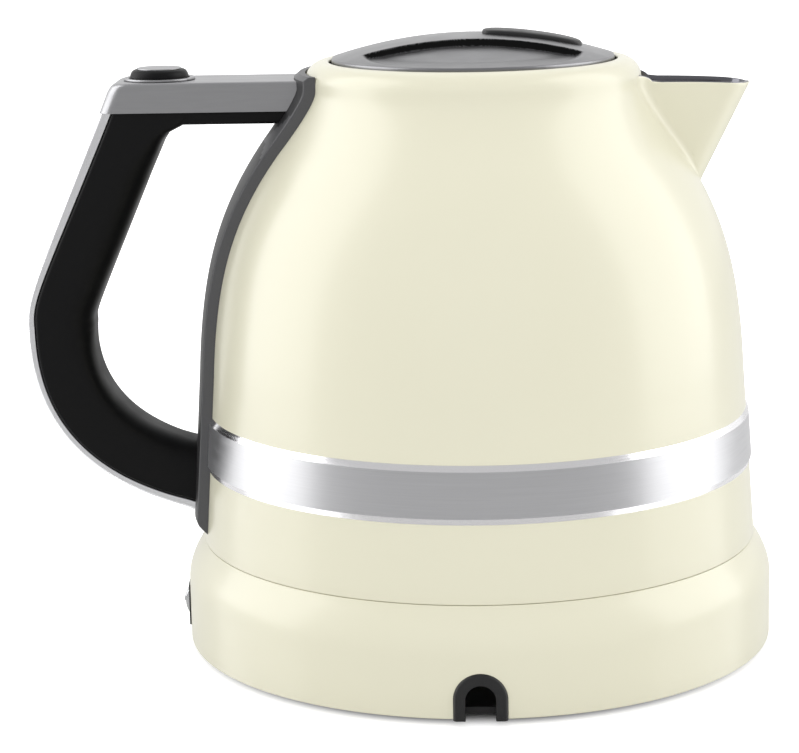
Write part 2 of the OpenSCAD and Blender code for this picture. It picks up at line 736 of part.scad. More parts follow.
lid_edge_z = top_z + 1.2;
lid_skirt_z = lid_edge_z - 3;
seat_z = lid_skirt_z - 1.9;
hinge_z = lid_edge_z - 1.6;
collar_bore = mouth_r - 7.2;
collar_low = spout_rim_z - 10.8;
ear = [11.6, 14.6];
knuckle = [6.3, 11.1];
ear_r = pin_d / 2 + 0.45;
knuckle_r = pin_d / 2 + 0.8;
sweep_r = norm([lid_r - hinge_back, lid_edge_z - hinge_z]) + 0.1;
pocket_z = hinge_z - sweep_r - 0.8;
catch_x = -(hinge_back + sweep_r + 0.35);
module behind(x, z0, z1) { box(-far, x, -far, far, z0, z1); }
module ahead(x, z0, z1) { box(x, far, -far, far, z0, z1); }
module lid_collar() {
    wall_r = neck_r - shell_t - 0.4;
    color("#3A3B3D") difference() {
        union() {
            difference() {
                rotate_extrude($fn = 144) polygon(concat(
                    [[collar_bore, collar_low], [wall_r, collar_low]],
                    [[wall_r, roll_z]],
                    tail(arc([neck_r - rim_roll, roll_z], rim_roll - shell_t - 0.4, 0, 80, 6)),
                    [[mouth_r, top_z - shell_t - 0.3], [mouth_r, seat_z], [collar_bore, seat_z]]
                ));
                intersection() {
                    disc(mouth_r, pocket_z, top_z);
                    behind(2 - hinge_back, pocket_z, top_z);
                }
            }
            intersection() {
                disc(collar_bore + 2, pocket_z - 2.2, seat_z - 0.5);
                union() {
                    behind(4.2 - hinge_back, pocket_z - 2.2, pocket_z);
                    box(2 - hinge_back, 4.2 - hinge_back, -60, 60, pocket_z - 1, seat_z - 0.5);
                }
            }
            for (s = [-1, 1]) translate([0, s * (ear[0] + ear[1]) / 2, 0]) {
                cross_rod(-hinge_back, hinge_z, ear_r, (ear[1] - ear[0]) / 2);
                side_plate([
                    [2 - hinge_back, pocket_z], [4.2 - hinge_back, pocket_z], [4.2 - hinge_back, seat_z - 1],
                    [0.7 * ear_r - hinge_back, hinge_z + 0.7 * ear_r], [-0.7 * ear_r - hinge_back, hinge_z - 0.7 * ear_r],
                    [2 - hinge_back, hinge_z - 4.5]
                ], (ear[1] - ear[0]) / 2);
            }
        }
        cross_rod(-hinge_back, hinge_z, pin_d / 2 + 0.02, 25);
        slab(-far, -mouth_r + 2, rod_half + slide_gap, rod_z - slide_gap, rod_z + rod_t + slide_gap);
        slab(-neck_r + 1, -mouth_r + 2, nose_half + slide_gap, rod_z, seat_z + 0.6);
        for (s = [-1, 1])
            translate([head_pocket - head_seat(neck_r - shell_t, screw_y[1]), s * screw_y[1], screw_z[1]])
                rotate([0, -90, 0]) cylinder(r = screw_head_r + 0.4, h = 10, $fn = 48);
    }
}
module hinge_pin() {
    color("#C9CBCD") cross_rod(-hinge_back, hinge_z, pin_d / 2, ear[1] + 0.6);
}
module hinge_spring() {
    color("#B5B7BA") translate([-hinge_back, 0, hinge_z]) rotate([90, 0, 0])
        wire(coil(pin_d / 2 + 0.45, -4.6, 4.6, 6, 12), 0.4, 6);
}
// Height of a dome of the given crown above the lid's edge, as a profile from the rim to the axis.
function dome(r, crown, z, n) =
    let (sphere = (r * r + crown * crown) / (2 * crown))
    [for (i = [0:n]) let (x = r * (1 - i / n)) [x, z + crown - sphere + sqrt(sphere * sphere - x * x)]];
module lid_form(r, crown, thick, n = 20) {
    rotate_extrude($fn = 144) polygon(concat(
        [[0, lid_skirt_z], [r, lid_skirt_z], [r, lid_edge_z - 0.7 - thick]],
        dome(r - 0.8, crown, lid_edge_z - thick, n)
    ));
}
// The ridge between the two finger recesses, seen from above.
module ridge_plan() {
    half_x = lid_r * 0.75;
    bow_r = (half_x * half_x + recess_bow * recess_bow) / (2 * recess_bow);
    difference() {
        circle(r = lid_r + 5);
        for (s = [0, 1]) mirror([0, s]) intersection() {
            translate([-half_x, -lid_r - 6]) square([2 * half_x, lid_r]);
            translate([0, -ridge_half - bow_r]) circle(r = bow_r, $fn = 180);
        }
    }
}
module lid_cover() {
    color("#8E9093") difference() {
        union() {
            lid_form(lid_r, lid_crown - recess_depth, 0);
            intersection() {
                lid_form(lid_r, lid_crown, 0);
                translate([0, 0, lid_skirt_z]) linear_extrude(40) ridge_plan();
            }
        }
        lid_form(lid_r - cover_t, lid_crown - recess_depth, cover_t);
        disc(lid_r - cover_t, lid_skirt_z - 5, lid_skirt_z + 0.5);
        intersection() {
            lid_form(lid_r - cover_t, lid_crown, cover_t);
            slab(-lid_r * 0.7, lid_r * 0.7, ridge_half - 2, 0, far);
        }
    }
}
plug_disc_r = collar_bore - 1.5;
// The back edge of the lid's inner plate, just ahead of the hinge.
plate_x = 6.5 - hinge_back;
module lid_inner() {
    color("#46484B") difference() {
        union() {
            intersection() {
                union() {
                    disc(plug_disc_r, seat_z - 6.3, seat_z - 4.3);
                    ring(plug_disc_r - 2, plug_disc_r, seat_z - 6.3, lid_skirt_z + 0.5);
                    ring(plug_disc_r - 2, lid_r - cover_t - 0.4, lid_skirt_z + 0.1, lid_skirt_z + 1.3);
                }
                ahead(plate_x, 0, far);
            }
            intersection() {
                box(plate_x, plate_x + 2, -lid_r, lid_r, seat_z - 6.3, lid_skirt_z + 1.3);
                disc(plug_disc_r, 0, far);
            }
            for (s = [-1, 1]) translate([0, s * (knuckle[0] + knuckle[1]) / 2, 0]) {
                cross_rod(-hinge_back, hinge_z, knuckle_r, (knuckle[1] - knuckle[0]) / 2);
                slab(-hinge_back, plate_x + 2, (knuckle[1] - knuckle[0]) / 2, lid_skirt_z + 0.1, hinge_z + knuckle_r - 0.4);
            }
        }
        cross_rod(-hinge_back, hinge_z, pin_d / 2 + pin_gap, 25);
    }
}
module lid_seal() {
    color("#D9D9D6") intersection() {
        ring(plug_disc_r + 0.1, lid_r - 3, seat_z + seat_gap, lid_skirt_z);
        ahead(plate_x, 0, far);
    }
}
// The grip pad follows the crown and stands proud of it by pad_h.
pad_h = 1.8;
pad_x = 3.5;
module lid_grip_pad() {
    color("#1A1A1B") difference() {
        intersection() {
            union() {
                translate([0, 0, pad_h - 0.8]) lid_form(lid_r, lid_crown, 0);
                intersection() {
                    translate([0, 0, pad_h]) lid_form(lid_r, lid_crown, 0);
                    pad_block(3.4);
                }
            }
            pad_block(0);
        }
        lid_form(lid_r, lid_crown, 0);
        disc(lid_r + 1, 0, lid_skirt_z + 3);
    }
}
module pad_block(inset) {
    end_r = 7.5;
    translate([0, 0, lid_edge_z]) linear_extrude(20) intersection() {
        translate([pad_x + inset, -end_r + inset / 3]) square([pad_len - 2 * inset, 2 * end_r - inset / 1.5]);
        translate([pad_x + pad_len / 2, 0]) circle(r = pad_len / 2 + 1 - inset);
    }
}

// --- Spout filter ----------------------------------------------------------------

filter_z = spout_rim_z - 23;
filter_x = radius_at(vessel_inner, filter_z) - 5;
filter_tilt = -36;
module filter_place() { translate([filter_x, 0, filter_z]) rotate([0, filter_tilt, 0]) children(); }
module filter_frame() {
    color("#DADBD8") intersection() {
        filter_place() difference() {
            slab(-1.4, 8, 15, -12, 12);
            slab(-2, 9, 12.6, -9.6, 9.6);
        }
        inside([for (p = between(vessel_inner, floor_z, spout_rim_z - 12.5)) p - [0.05, 0]]);
    }
}
module filter_mesh() {
    color("#C4C6C8") filter_place() difference() {
        slab(-0.4, 0.4, 12.5, -9.5, 9.5);
        for (i = [-3:3], k = [-2:2]) translate([0, i * 3.3, k * 3.6]) slab(-1, 1, 1, -1.2, 1.2);
    }
}

// --- Handle ------------------------------------------------------------------------

bracket_low = jug_z + 2.4;
bracket_top = top_z - 3.8;
screw_z = [jug_z + 18, arm_low + 6.2];
screw_y = [8, 9.6];
module screw_holes(r) {
    for (s = [-1, 1]) {
        translate([-mouth_r * 0.75, s * screw_y[1], screw_z[1]]) rotate([0, -90, 0])
            cylinder(r = r, h = base_r, $fn = 48);
        translate([-waist_r * 0.8, s * screw_y[0], screw_z[0]]) rotate([0, -90, 0])
            cylinder(r = r, h = base_r, $fn = 48);
    }
}
module handle_bracket() {
    low = between(bracket_back, bracket_low + 5, bracket_top - 2.2);
    top_in = neck_r + 0.02;
    color("#515254") difference() {
        intersection() {
            rotate_extrude($fn = 144) polygon(concat(
                [[radius_at(jug_wall, bracket_low - 2) + 0.02, bracket_low - 2]],
                [[radius_at(bracket_back, bracket_low + 5), bracket_low + 3]],
                low,
                [[neck_r + bracket_t, bracket_top - 2.2], [neck_r + bracket_t - 1.8, bracket_top],
                 [top_in, bracket_top]],
                flip([for (p = jug_wall) if (p.y > bracket_low && p.y < bracket_top - 0.5) p + [0.02, 0]])
            ));
            slab(-far, 0, bracket_w / 2, 0, far);
        }
        slab(-far, -lid_r * 0.8, rod_half + slide_gap, rod_z - slide_gap, rod_z + rod_t + slide_gap);
        slab(-far, -neck_r, window_half + 0.15, window_z[0] - 0.15, window_z[1] + 0.15);
        screw_holes(1.7);
    }
}
module level_window() {
    z0 = window_z[0];
    z1 = window_z[1];
    outline = concat(
        [[radius_at(vessel_outer, z0) + 0.05, z0], [radius_at(bracket_back, z0) - 0.6, z0]],
        [for (p = between(bracket_back, z0, z1)) p - [0.6, 0]],
        [[radius_at(bracket_back, z1) - 0.6, z1], [radius_at(vessel_outer, z1) + 0.05, z1]],
        flip([for (p = between(vessel_outer, z0, z1)) p + [0.05, 0]])
    );
    color([0.75, 0.8, 0.84, 0.5]) intersection() {
        rotate_extrude($fn = 144) polygon(outline);
        slab(-far, 0, window_half, 0, far);
    }
}
// The space behind the bracket's outer face, cut away from what is screwed to it.
module bracket_space(gap = 0.05) {
    back = shifted(jug_wall, bracket_t + gap);
    top_r = neck_r + bracket_t + gap;
    inside(concat([[back[0].x, 0], [back[0].x, back[0].y]], tail(back), [[top_r, roll_z + 0.1], [top_r, roll_z + 40]]));
}
// Arm: a cast cover, open below, with a slanted end.
arm_root = -neck_r + 4;
arm_tip_x = -arm_reach - 4.7;
arm_slant = 0.42;
arm_round = 3;
function arm_end(z) = arm_tip_x - (arm_top - z) * arm_slant;
module rounded_arm(grow, z_low) {
    y = handle_w / 2 - arm_round;
    hull() for (s = [-1, 1]) {
        translate([arm_tip_x + arm_round, s * y, arm_top - arm_round]) sphere(r = arm_round - grow, $fn = 24);
        translate([arm_end(z_low) + arm_round * 1.3, s * y, z_low]) cylinder(r = arm_round - grow, h = 0.2, $fn = 24);
        translate([arm_root, s * y, arm_top - arm_round]) sphere(r = arm_round - grow, $fn = 24);
        translate([arm_root, s * y, z_low]) cylinder(r = arm_round - grow, h = 0.2, $fn = 24);
    }
}
button_x = -(arm_reach - 12);
button_r = button_d / 2;
module handle_arm() {
    color("#8C8D8F") difference() {
        rounded_arm(0, arm_low);
        slab(arm_end(arm_low) + 9, -neck_r - bracket_t - 5, handle_w / 2 - 2.6, arm_low - 1, arm_top - 2.2);
        slab(-neck_r - 20, 0, rod_half + slide_gap, arm_low - 1, rod_z + rod_t + slide_gap);
        screw_holes(1.3);
        translate([button_x, 0, arm_low - 1]) cylinder(r = button_r + slide_gap, h = arm_h + 2);
        bracket_space();
    }
}
module arm_liner() {
    root = neck_r + bracket_t - 1;
    tip = -arm_end(arm_low) - 5;
    color("#1C1C1D") difference() {
        slab(-tip, -root, handle_w / 2 - 1, arm_low - liner_h, arm_low - 0.05);
        bracket_space();
        // The grip's upper end passes through the liner's outer end.
        grip_space();
        slab(-arm_reach - 20, -grip_root_x - 9.5, 40, 0, arm_low + 1);
    }
}
// Grip: outer and inner edges of its side view, joined by D-shaped sections.
grip_root_x = arm_reach - 14;
grip_top_z = arm_low - 0.1;
grip_outer_top = [-arm_reach - 9.5, grip_top_z];
grip_outer_mid = [-grip_reach, grip_mid_z];
grip_foot_x = -foot_r - bracket_t + 0.6;
grip_outer_foot = [grip_foot_x, jug_z + 10.5];
grip_inner_top = [-arm_reach + 16.7, grip_top_z];
grip_inner_mid = [-grip_reach + grip_t, grip_mid_z];
grip_inner_foot = [grip_foot_x + 3.6, jug_z + 34.4];
slope = unit([-0.4, -0.92]);
grip_outer = concat(
    bezier(grip_outer_top, grip_outer_top + 71 * slope, grip_outer_mid + [0, 10.8], grip_outer_mid, 10),
    tail(bezier(grip_outer_mid, grip_outer_mid - [0, 58.9], grip_outer_foot + [-4.1, 3.6], grip_outer_foot, 12))
);
grip_inner = concat(
    bezier(grip_inner_top, grip_inner_top + 90 * slope, grip_inner_mid + [0, 6], grip_inner_mid, 10),
    tail(bezier(grip_inner_mid, grip_inner_mid - [0, 3.8], grip_inner_foot + [-43.4, 10.8], grip_inner_foot, 12))
);
// Cross-section between an outer and an inner point, flat on the outer side and round on the inner.
function grip_ring(a, b, half_y, n = 20) =
    let (mid = (a + b) / 2, arm = (a - b) / 2)
    [for (j = [0:n - 1])
        let (
            t = 360 * j / n,
            c = cos(t),
            s = sin(t),
            blunt = c > 0 ? 0.35 : 0.62,
            u = sign(c) * pow(abs(c), blunt),
            v = sign(s) * pow(abs(s), c > 0 ? 0.35 : 0.75),
            p = mid + u * arm
        )
        [p.x, half_y * v, p.y]];
function spine_face(i) = grip_outer[i] + spine_t * unit(grip_inner[i] - grip_outer[i]);
module grip_space() {
    skin([for (i = [0:3]) grip_ring(spine_face(i) + [-6, 0] + (i == 0 ? [0, 1] : [0, 0]),
        grip_inner[i] + [0.45, 0] + (i == 0 ? [0, 1] : [0, 0]), handle_w / 2 + 1)]);
}
module grip() {
    color("#171717") difference() {
        skin([for (i = [0:len(grip_outer) - 1])
            grip_ring(spine_face(i), grip_inner[i], handle_w / 2 - 0.6)]);
        bracket_space();
        screw_holes(1.3);
    }
}
module grip_spine() {
    color("#D9DADB") difference() {
        skin([for (i = [0:len(grip_outer) - 1])
            let (face = spine_face(i), out = unit(grip_outer[i] - grip_inner[i]))
            spine_ring(grip_outer[i], face + 0.06 * out)]);
        bracket_space();
    }
}
function spine_ring(a, b, n = 20) =
    let (mid = (a + b) / 2, arm = (a - b) / 2)
    [for (j = [0:n - 1])
        let (
            t = 360 * j / n,
            c = cos(t),
            s = sin(t),
            p = mid + sign(c) * pow(abs(c), 0.5) * arm
        )
        [p.x, (handle_w / 2 - 1.2) * sign(s) * pow(abs(s), 0.4), p.y]];
module handle_screws() {
    color("#8C8F93") for (s = [-1, 1]) {
        translate([-head_seat(neck_r - shell_t, screw_y[1]), s * screw_y[1], screw_z[1]])
            rotate([0, -90, 0]) screw(10);
        translate([-head_seat(radius_at(shell_inner, screw_z[0]), screw_y[0]), s * screw_y[0], screw_z[0]])
            rotate([0, -90, 0]) screw(14);
    }
}
screw_head_r = 2.6;
screw_head_t = 1.8;
head_pocket = screw_head_t + 0.25;
// Where a flat head, y off the middle, meets the inside of a round wall of radius r.
function head_seat(r, y) = sqrt(r * r - (y + screw_head_r) * (y + screw_head_r)) - 0.05;
module screw(length) {
    translate([0, 0, -screw_head_t]) cylinder(r = screw_head_r, h = screw_head_t, $fn = 48);
    translate([0, 0, -eps]) cylinder(r = 1.25, h = length, $fn = 48);
}

// --- Release button -------------------------------------------------------------------

button_low = arm_top - 2;
wedge_h = button_low - button_travel - rod_z - slide_gap;
wedge_sum = button_x + rod_z + 1.2;
nose_half = 3.5;
// The plunger stays clear of the grip's upper end when the button is down.
plunger_low = grip_top_z + button_travel + slide_gap;
module button_collar() {
    color("#A9ABAD") translate([button_x, 0, 0])
        ring(button_r + slide_gap + 0.1, button_r + 2.4, arm_top + 0.02, arm_top + 0.9);
}
module release_button() {
    color("#161617") {
        translate([button_x, 0, button_low]) cylinder(r = button_r, h = arm_top + 1 - button_low);
        translate([button_x, 0, arm_top + 1 - eps]) cylinder(r1 = button_r, r2 = button_r - 2, h = 2.8);
        intersection() {
            translate([button_x, 0, plunger_low]) cylinder(r = 3, h = button_low - plunger_low + 0.5, $fn = 48);
            side_plate([
                [button_x - 8, wedge_sum - button_x + 8 + 0.3], [button_x + 8, wedge_sum - button_x - 8 + 0.3],
                [button_x + 8, arm_top], [button_x - 8, arm_top]
            ], 5);
        }
    }
}
module button_cap() {
    color("#A4A6A8") translate([button_x, 0, arm_top + 3.8]) cylinder(r = button_r - 2.5, h = 0.5);
}
module button_springs() {
    color("#B5B7BA") for (s = [-1, 1]) translate([button_x, s * 8.6, 0])
        wire(coil(1.5, grip_top_z + 0.35, button_low - 0.35, 4, 12), 0.3, 6);
}
module release_slider() {
    tail_x = button_x - 7;
    color("#5A5C60") difference() {
        union() {
            slab(tail_x, catch_x, rod_half, rod_z, rod_z + rod_t);
            side_plate([
                [tail_x, rod_z], [wedge_sum - rod_z, rod_z], [wedge_sum - rod_z - wedge_h, rod_z + wedge_h], [tail_x, rod_z + wedge_h]
            ], rod_half);
            slab(catch_x - 2.4, catch_x, nose_half, rod_z, seat_z + 0.2);
        }
        difference() {
            slab(wedge_sum - rod_z - rod_t - 1, button_x + 10, 3.6, rod_z - 1, rod_z + rod_t + 1);
            side_plate([
                [tail_x, rod_z], [wedge_sum - rod_z, rod_z], [wedge_sum - rod_z - wedge_h, rod_z + wedge_h], [tail_x, rod_z + wedge_h]
            ], rod_half);
        }
    }
}

// --- Thermometer on the side away from the cord -------------------------------------------

module dial_place() { translate([0, dial_y, dial_z]) rotate([dial_tilt - 90, 0, 0]) children(); }
dial_face = -0.6;
module thermometer_housing() {
    color("#2B2C2E") dial_place() difference() {
        translate([0, 0, -5]) cylinder(r = thermo_r, h = 5 + dial_face);
        translate([0, 0, -3.6]) cylinder(r = thermo_r - 1.6, h = 10);
    }
}
module thermometer_bezel() {
    color("#C6C8CA") difference() {
        dial_place() difference() {
            union() {
                translate([0, 0, -3]) cylinder(r = thermo_r + 0.2, h = 7);
                translate([0, 0, -3]) cylinder(r = dial_r, h = 5);
                translate([0, 0, 2 - eps]) cylinder(r1 = dial_r, r2 = dial_r - 1.6, h = 2);
            }
            translate([0, 0, dial_face - 4]) cylinder(r = thermo_r + 0.1, h = 4.05);
            translate([0, 0, dial_face - 0.5]) cylinder(r = thermo_r - 2.4, h = 6);
            translate([0, 0, 2.2]) cylinder(r = thermo_r - 1.2, h = 6);
        }
        difference() {
            inside([for (p = jug_wall) p + [0.05, 0]]);
            dial_place() translate([0, 0, -12]) cylinder(r = thermo_r + 0.25, h = 40);
        }
    }
}
module thermometer_dial() {
    color("#F2F2EE") dial_place() difference() {
        translate([0, 0, dial_face - 2.4]) cylinder(r = thermo_r - 1.65, h = 1);
        translate([0, 0, dial_face - 3]) cylinder(r = 1.3, h = 3, $fn = 48);
    }
}
module thermometer_needle() {
    color("#1A1A1A") dial_place() {
        translate([0, 0, dial_face - 2.9]) cylinder(r = 1.2, h = 3.4, $fn = 48);
        rotate(45) translate([-3.5, -0.5, dial_face - 0.6]) cube([17, 1, 0.6]);
    }
}
module thermometer_lens() {
    color([0.8, 0.88, 0.9, 0.4]) dial_place() translate([0, 0, 2.25]) cylinder(r = thermo_r - 1.3, h = 1.2);
}

base_housing();
base_deck();
base_pan();
rubber_feet();
pan_screws();
cord_grommet();
connector_socket();
socket_contacts();
terminal_block();
mains_wires();
control_board();
board_components();
power_switch();
switch_bezel();
power_lever();
slider_track();
slider_sensor();
slider_knob();
connector_plug();
plug_contacts();
outer_shell();
spout();
spout_liner();
inner_vessel();
heater_plate();
heating_element();
kettle_control();
bottom_cover();
bottom_screws();
trim_band();
lid_collar();
hinge_pin();
hinge_spring();
handle_bracket();
level_window();
handle_arm();
arm_liner();
grip();
grip_spine();
handle_screws();
button_collar();
release_button();
button_cap();
button_springs();
release_slider();
filter_frame();
filter_mesh();
lid_cover();
lid_inner();
lid_seal();
lid_grip_pad();
thermometer_housing();
thermometer_bezel();
thermometer_dial();
thermometer_needle();
thermometer_lens();
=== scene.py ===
import contextlib
import json
import math

import bmesh
import bpy
from mathutils import Matrix, Vector


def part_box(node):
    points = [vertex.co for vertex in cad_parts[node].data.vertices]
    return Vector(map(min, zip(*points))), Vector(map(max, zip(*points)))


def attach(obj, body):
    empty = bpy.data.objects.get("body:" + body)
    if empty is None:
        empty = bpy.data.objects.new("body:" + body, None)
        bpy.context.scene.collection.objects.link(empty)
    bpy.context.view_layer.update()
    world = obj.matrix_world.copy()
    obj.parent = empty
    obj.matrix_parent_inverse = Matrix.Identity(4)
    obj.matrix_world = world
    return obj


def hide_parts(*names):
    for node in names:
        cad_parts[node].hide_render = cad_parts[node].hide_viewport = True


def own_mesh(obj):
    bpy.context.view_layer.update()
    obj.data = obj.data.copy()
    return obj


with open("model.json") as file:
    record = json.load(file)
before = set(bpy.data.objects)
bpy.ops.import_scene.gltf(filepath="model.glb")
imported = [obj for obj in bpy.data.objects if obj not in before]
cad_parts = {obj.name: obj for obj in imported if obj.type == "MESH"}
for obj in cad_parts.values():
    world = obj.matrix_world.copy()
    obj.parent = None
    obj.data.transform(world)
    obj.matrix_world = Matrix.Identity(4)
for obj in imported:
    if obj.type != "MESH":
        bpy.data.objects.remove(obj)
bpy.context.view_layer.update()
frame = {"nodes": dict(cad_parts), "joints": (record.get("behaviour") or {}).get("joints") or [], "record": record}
NODES = frame["nodes"]

bl_info = {
    "name": "Electric Kettle",
    "version": (1, 0, 0),
    "blender": (4, 5, 0),
    "location": "View3D > Sidebar > Kettle",
    "description": "Dresses an electric kettle: enamelled jug and base, metal lid, handle and trim",
    "category": "Add Mesh",
}

MM = 0.001
# Points closer than this, in metres, are one point.
WELD = 1e-6

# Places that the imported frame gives, in metres.
BASE_LOW, BASE_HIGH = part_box("base_housing")
SHELL_LOW, SHELL_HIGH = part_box("outer_shell")
BAND_LOW, BAND_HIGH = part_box("trim_band")
LID_LOW, LID_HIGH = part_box("lid_cover")
SPOUT_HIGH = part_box("spout")[1]
BRACKET_LOW, BRACKET_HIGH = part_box("handle_bracket")
ARM_LOW, ARM_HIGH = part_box("handle_arm")
LINER_LOW, LINER_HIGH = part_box("arm_liner")
SPINE_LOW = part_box("grip_spine")[0]
BUTTON_LOW, BUTTON_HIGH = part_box("release_button")
COLLAR_LOW, COLLAR_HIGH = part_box("button_collar")
PAD_LOW, PAD_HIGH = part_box("lid_grip_pad")
GROMMET_LOW, GROMMET_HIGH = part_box("cord_grommet")
ROD_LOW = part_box("release_slider")[0]
WINDOW_LOW, WINDOW_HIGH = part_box("level_window")
BUTTON_X = (COLLAR_LOW.x + COLLAR_HIGH.x) / 2
NEEDLE = next(joint for joint in frame["joints"] if joint["name"] == "needle_turn")


# --- Sizes and colours that a user would change ------------------------------


def linear(code):
    """A colour written as sRGB hex, as linear values."""
    parts = [int(code[i:i + 2], 16) / 255 for i in (1, 3, 5)]
    return [c / 12.92 if c <= 0.04045 else ((c + 0.055) / 1.055) ** 2.4 for c in parts]


def length(name, description, default):
    """A size property, given in millimetres and kept in metres."""
    return bpy.props.FloatProperty(
        name=name, description=description, default=default * MM, min=0.0, unit="LENGTH", precision=4
    )


def colour(name, description, code):
    """A colour property."""
    return bpy.props.FloatVectorProperty(
        name=name, description=description, default=linear(code), subtype="COLOR", size=3, min=0.0, max=1.0
    )


class KettleJugSizes(bpy.types.PropertyGroup):
    waist_rise: length("Waist height", "Height of the straight wall above the jug's lower edge", 63)
    waist_radius: length("Waist radius", "Radius where the straight wall turns into the dome", 98.3)
    dome_rise: length("Dome height", "Height of the dome up to the neck's flare", 81.7)
    flare_radius: length("Flare radius", "Radius where the dome meets the neck's flare", 73.1)
    neck_radius: length("Neck radius", "Radius of the neck", 60.8)
    roll_radius: length("Rim radius", "Outer radius of the rolled rim", 7)
    sheet: length("Sheet", "Thickness of the jug's sheet metal", 1.5)
    edge: length("Edge rounding", "Rounding of the jug's lower edge", 0.25)
    band_bevel: length("Band bevel", "Height of each polished bevel on the trim band", 2.1)


class KettleBaseSizes(bpy.types.PropertyGroup):
    skirt_height: length("Skirt height", "Height of the base's straight skirt", 24)
    wall: length("Wall", "Wall of the base housing", 2.4)
    arch_width: length("Outlet width", "Width of the cord's outlet", 18.8)
    arch_height: length("Outlet height", "Height of the cord's outlet", 18.8)
    grommet_wall: length("Grommet wall", "Wall of the grommet in the cord's outlet", 4.2)


class KettleLidSizes(bpy.types.PropertyGroup):
    cover: length("Cover", "Thickness of the lid's metal cover", 1.2)
    recess_depth: length("Recess depth", "Depth of the two finger recesses", 2.5)
    ridge_half: length("Ridge", "Half the width of the ridge at its middle", 16)
    bow: length("Recess bow", "How much wider the ridge is at the recesses' ends", 2)
    recess_half: length("Recess length", "Half the length of each recess", 40)
    wall_run: length("Recess wall", "How far the recess's wall runs out from top to foot", 1.4)
    skirt: length("Skirt", "Height of the lid's edge above its lower rim", 3)


class KettleSpoutSizes(bpy.types.PropertyGroup):
    drop: length("Rim drop", "Height of the spout's rim below the top of the jug", 9)
    depth: length("Depth", "Depth of the spout from its rim to its lowest point", 37)
    nose: length("Nose radius", "Radius of the spout's nose at the rim", 10.5)
    nose_low: length("Lower nose radius", "Radius of the spout's nose at its lowest point", 9)
    blend: length("Blend radius", "Radius that blends the spout's side into the jug, at the rim", 6.5)
    sheet: length("Sheet", "Thickness of the spout's sheet metal", 0.9)
    rim_rise: length("Rim rise", "How far the rim at the jug stands above the rim's nominal height", 0.4)
    rim_fall: length("Rim fall", "How far the rim falls from the jug to the tip", 1.4)
    lobe: length("Shoulder", "How far the rim rises where it meets the neck", 2.6)
    lobe_width: length("Shoulder width", "Length along the rim over which the shoulder falls to the rim", 7.5)


class KettleHandleSizes(bpy.types.PropertyGroup):
    width: length("Width", "Width of the arm and the grip", 30)
    bracket: length("Bracket", "Thickness of the bracket along the jug", 4)
    grip: length("Grip", "Thickness of the grip across the fingers", 23.8)
    spine: length("Spine", "Thickness of the metal spine", 4)
    fillet: length("Fillet", "Radius between the grip and the arm's liner", 7.5)
    arm_edge: length("Arm edge", "Rounding of the arm's upper edges", 1.3)
    arm_corner: length("Arm corner", "Rounding of the arm's outer corners", 5.5)


class KettleFinishes(bpy.types.PropertyGroup):
    enamel: colour("Enamel", "Enamel of the jug, the spout and the base", "#E5E2CB")
    arm: colour("Arm", "Satin cast metal of the handle's arm", "#A2A2A4")
    lid: colour("Lid", "Satin metal of the lid", "#88888A")
    spine: colour("Spine", "Satin chrome of the grip's spine", "#E6E6E8")
    band: colour("Band", "Brushed steel of the trim band", "#C6C6C8")
    bracket: colour("Bracket", "Moulded plastic of the bracket", "#4A4A4C")
    grip: colour("Grip", "Moulded plastic of the grip", "#0B0B0C")


class KettleStageSettings(bpy.types.PropertyGroup):
    yaw: bpy.props.FloatProperty(
        name="Yaw", description="The camera's turn to the left, in degrees", default=1.685
    )
    roll: bpy.props.FloatProperty(name="Roll", description="The camera's roll, in degrees", default=-1.05)


GROUPS = {
    "kettle_jug": KettleJugSizes,
    "kettle_base": KettleBaseSizes,
    "kettle_lid": KettleLidSizes,
    "kettle_spout": KettleSpoutSizes,
    "kettle_handle": KettleHandleSizes,
    "kettle_finishes": KettleFinishes,
    "kettle_stage": KettleStageSettings,
}


# --- Curves ------------------------------------------------------------------


def clamped(value):
    """The value kept between 0 and 1."""
    return min(max(value, 0), 1)


def eased(share):
    """A share that starts and stops gently."""
    return share * share * (3 - 2 * share)


def leg(hypotenuse, other):
    """A leg of a right-angled triangle, from its hypotenuse and its other leg, or nought."""
    return math.sqrt(max(hypotenuse ** 2 - other ** 2, 0))


def ray_at(angle):
    """The unit vector at an angle in radians."""
    return Vector((math.cos(angle), math.sin(angle)))


def mirrored(points):
    """The points from the last to the first, on the other side of the X axis."""
    return [Vector((p.x, -p.y, *p[2:])) for p in reversed(points)]


def raised(outline, height):
    """A flat outline's points at a height."""
    return [Vector((p.x, p.y, height)) for p in outline]


def vectors(*places):
    """Vectors from plain tuples."""
    return [Vector(values) for values in places]


def bezier(a, b, c, d, count):
    """Points on a cubic curve, both ends included."""
    a, b, c, d = vectors(a, b, c, d)
    points = []
    for i in range(count + 1):
        t = i / count
        u = 1 - t
        points.append(u ** 3 * a + 3 * u * u * t * b + 3 * u * t * t * c + t ** 3 * d)
    return points


def arc(centre, radius, start, end, count):
    """Points on an arc, from start to end in degrees, both ends included."""
    points = []
    for i in range(count + 1):
        angle = math.radians(start + (end - start) * i / count)
        points.append(Vector(centre) + radius * ray_at(angle))
    return points


def line(start, end, count):
    """Points on a straight line, both ends included."""
    return [Vector(start).lerp(Vector(end), i / count) for i in range(count + 1)]


def offset(path, distance):
    """An open path moved to the right of its direction by distance."""
    moved = []
    for i, point in enumerate(path):
        along = (path[min(i + 1, len(path) - 1)] - path[max(i - 1, 0)]).normalized()
        moved.append(point + distance * Vector((along.y, -along.x)))
    return moved


def trimmed(path, low, high):
    """The part of a rising profile between two heights, with its ends put in."""
    inner = [p for p in path if low < p.y < high]
    return [Vector((radius_at(path, low), low))] + inner + [Vector((radius_at(path, high), high))]


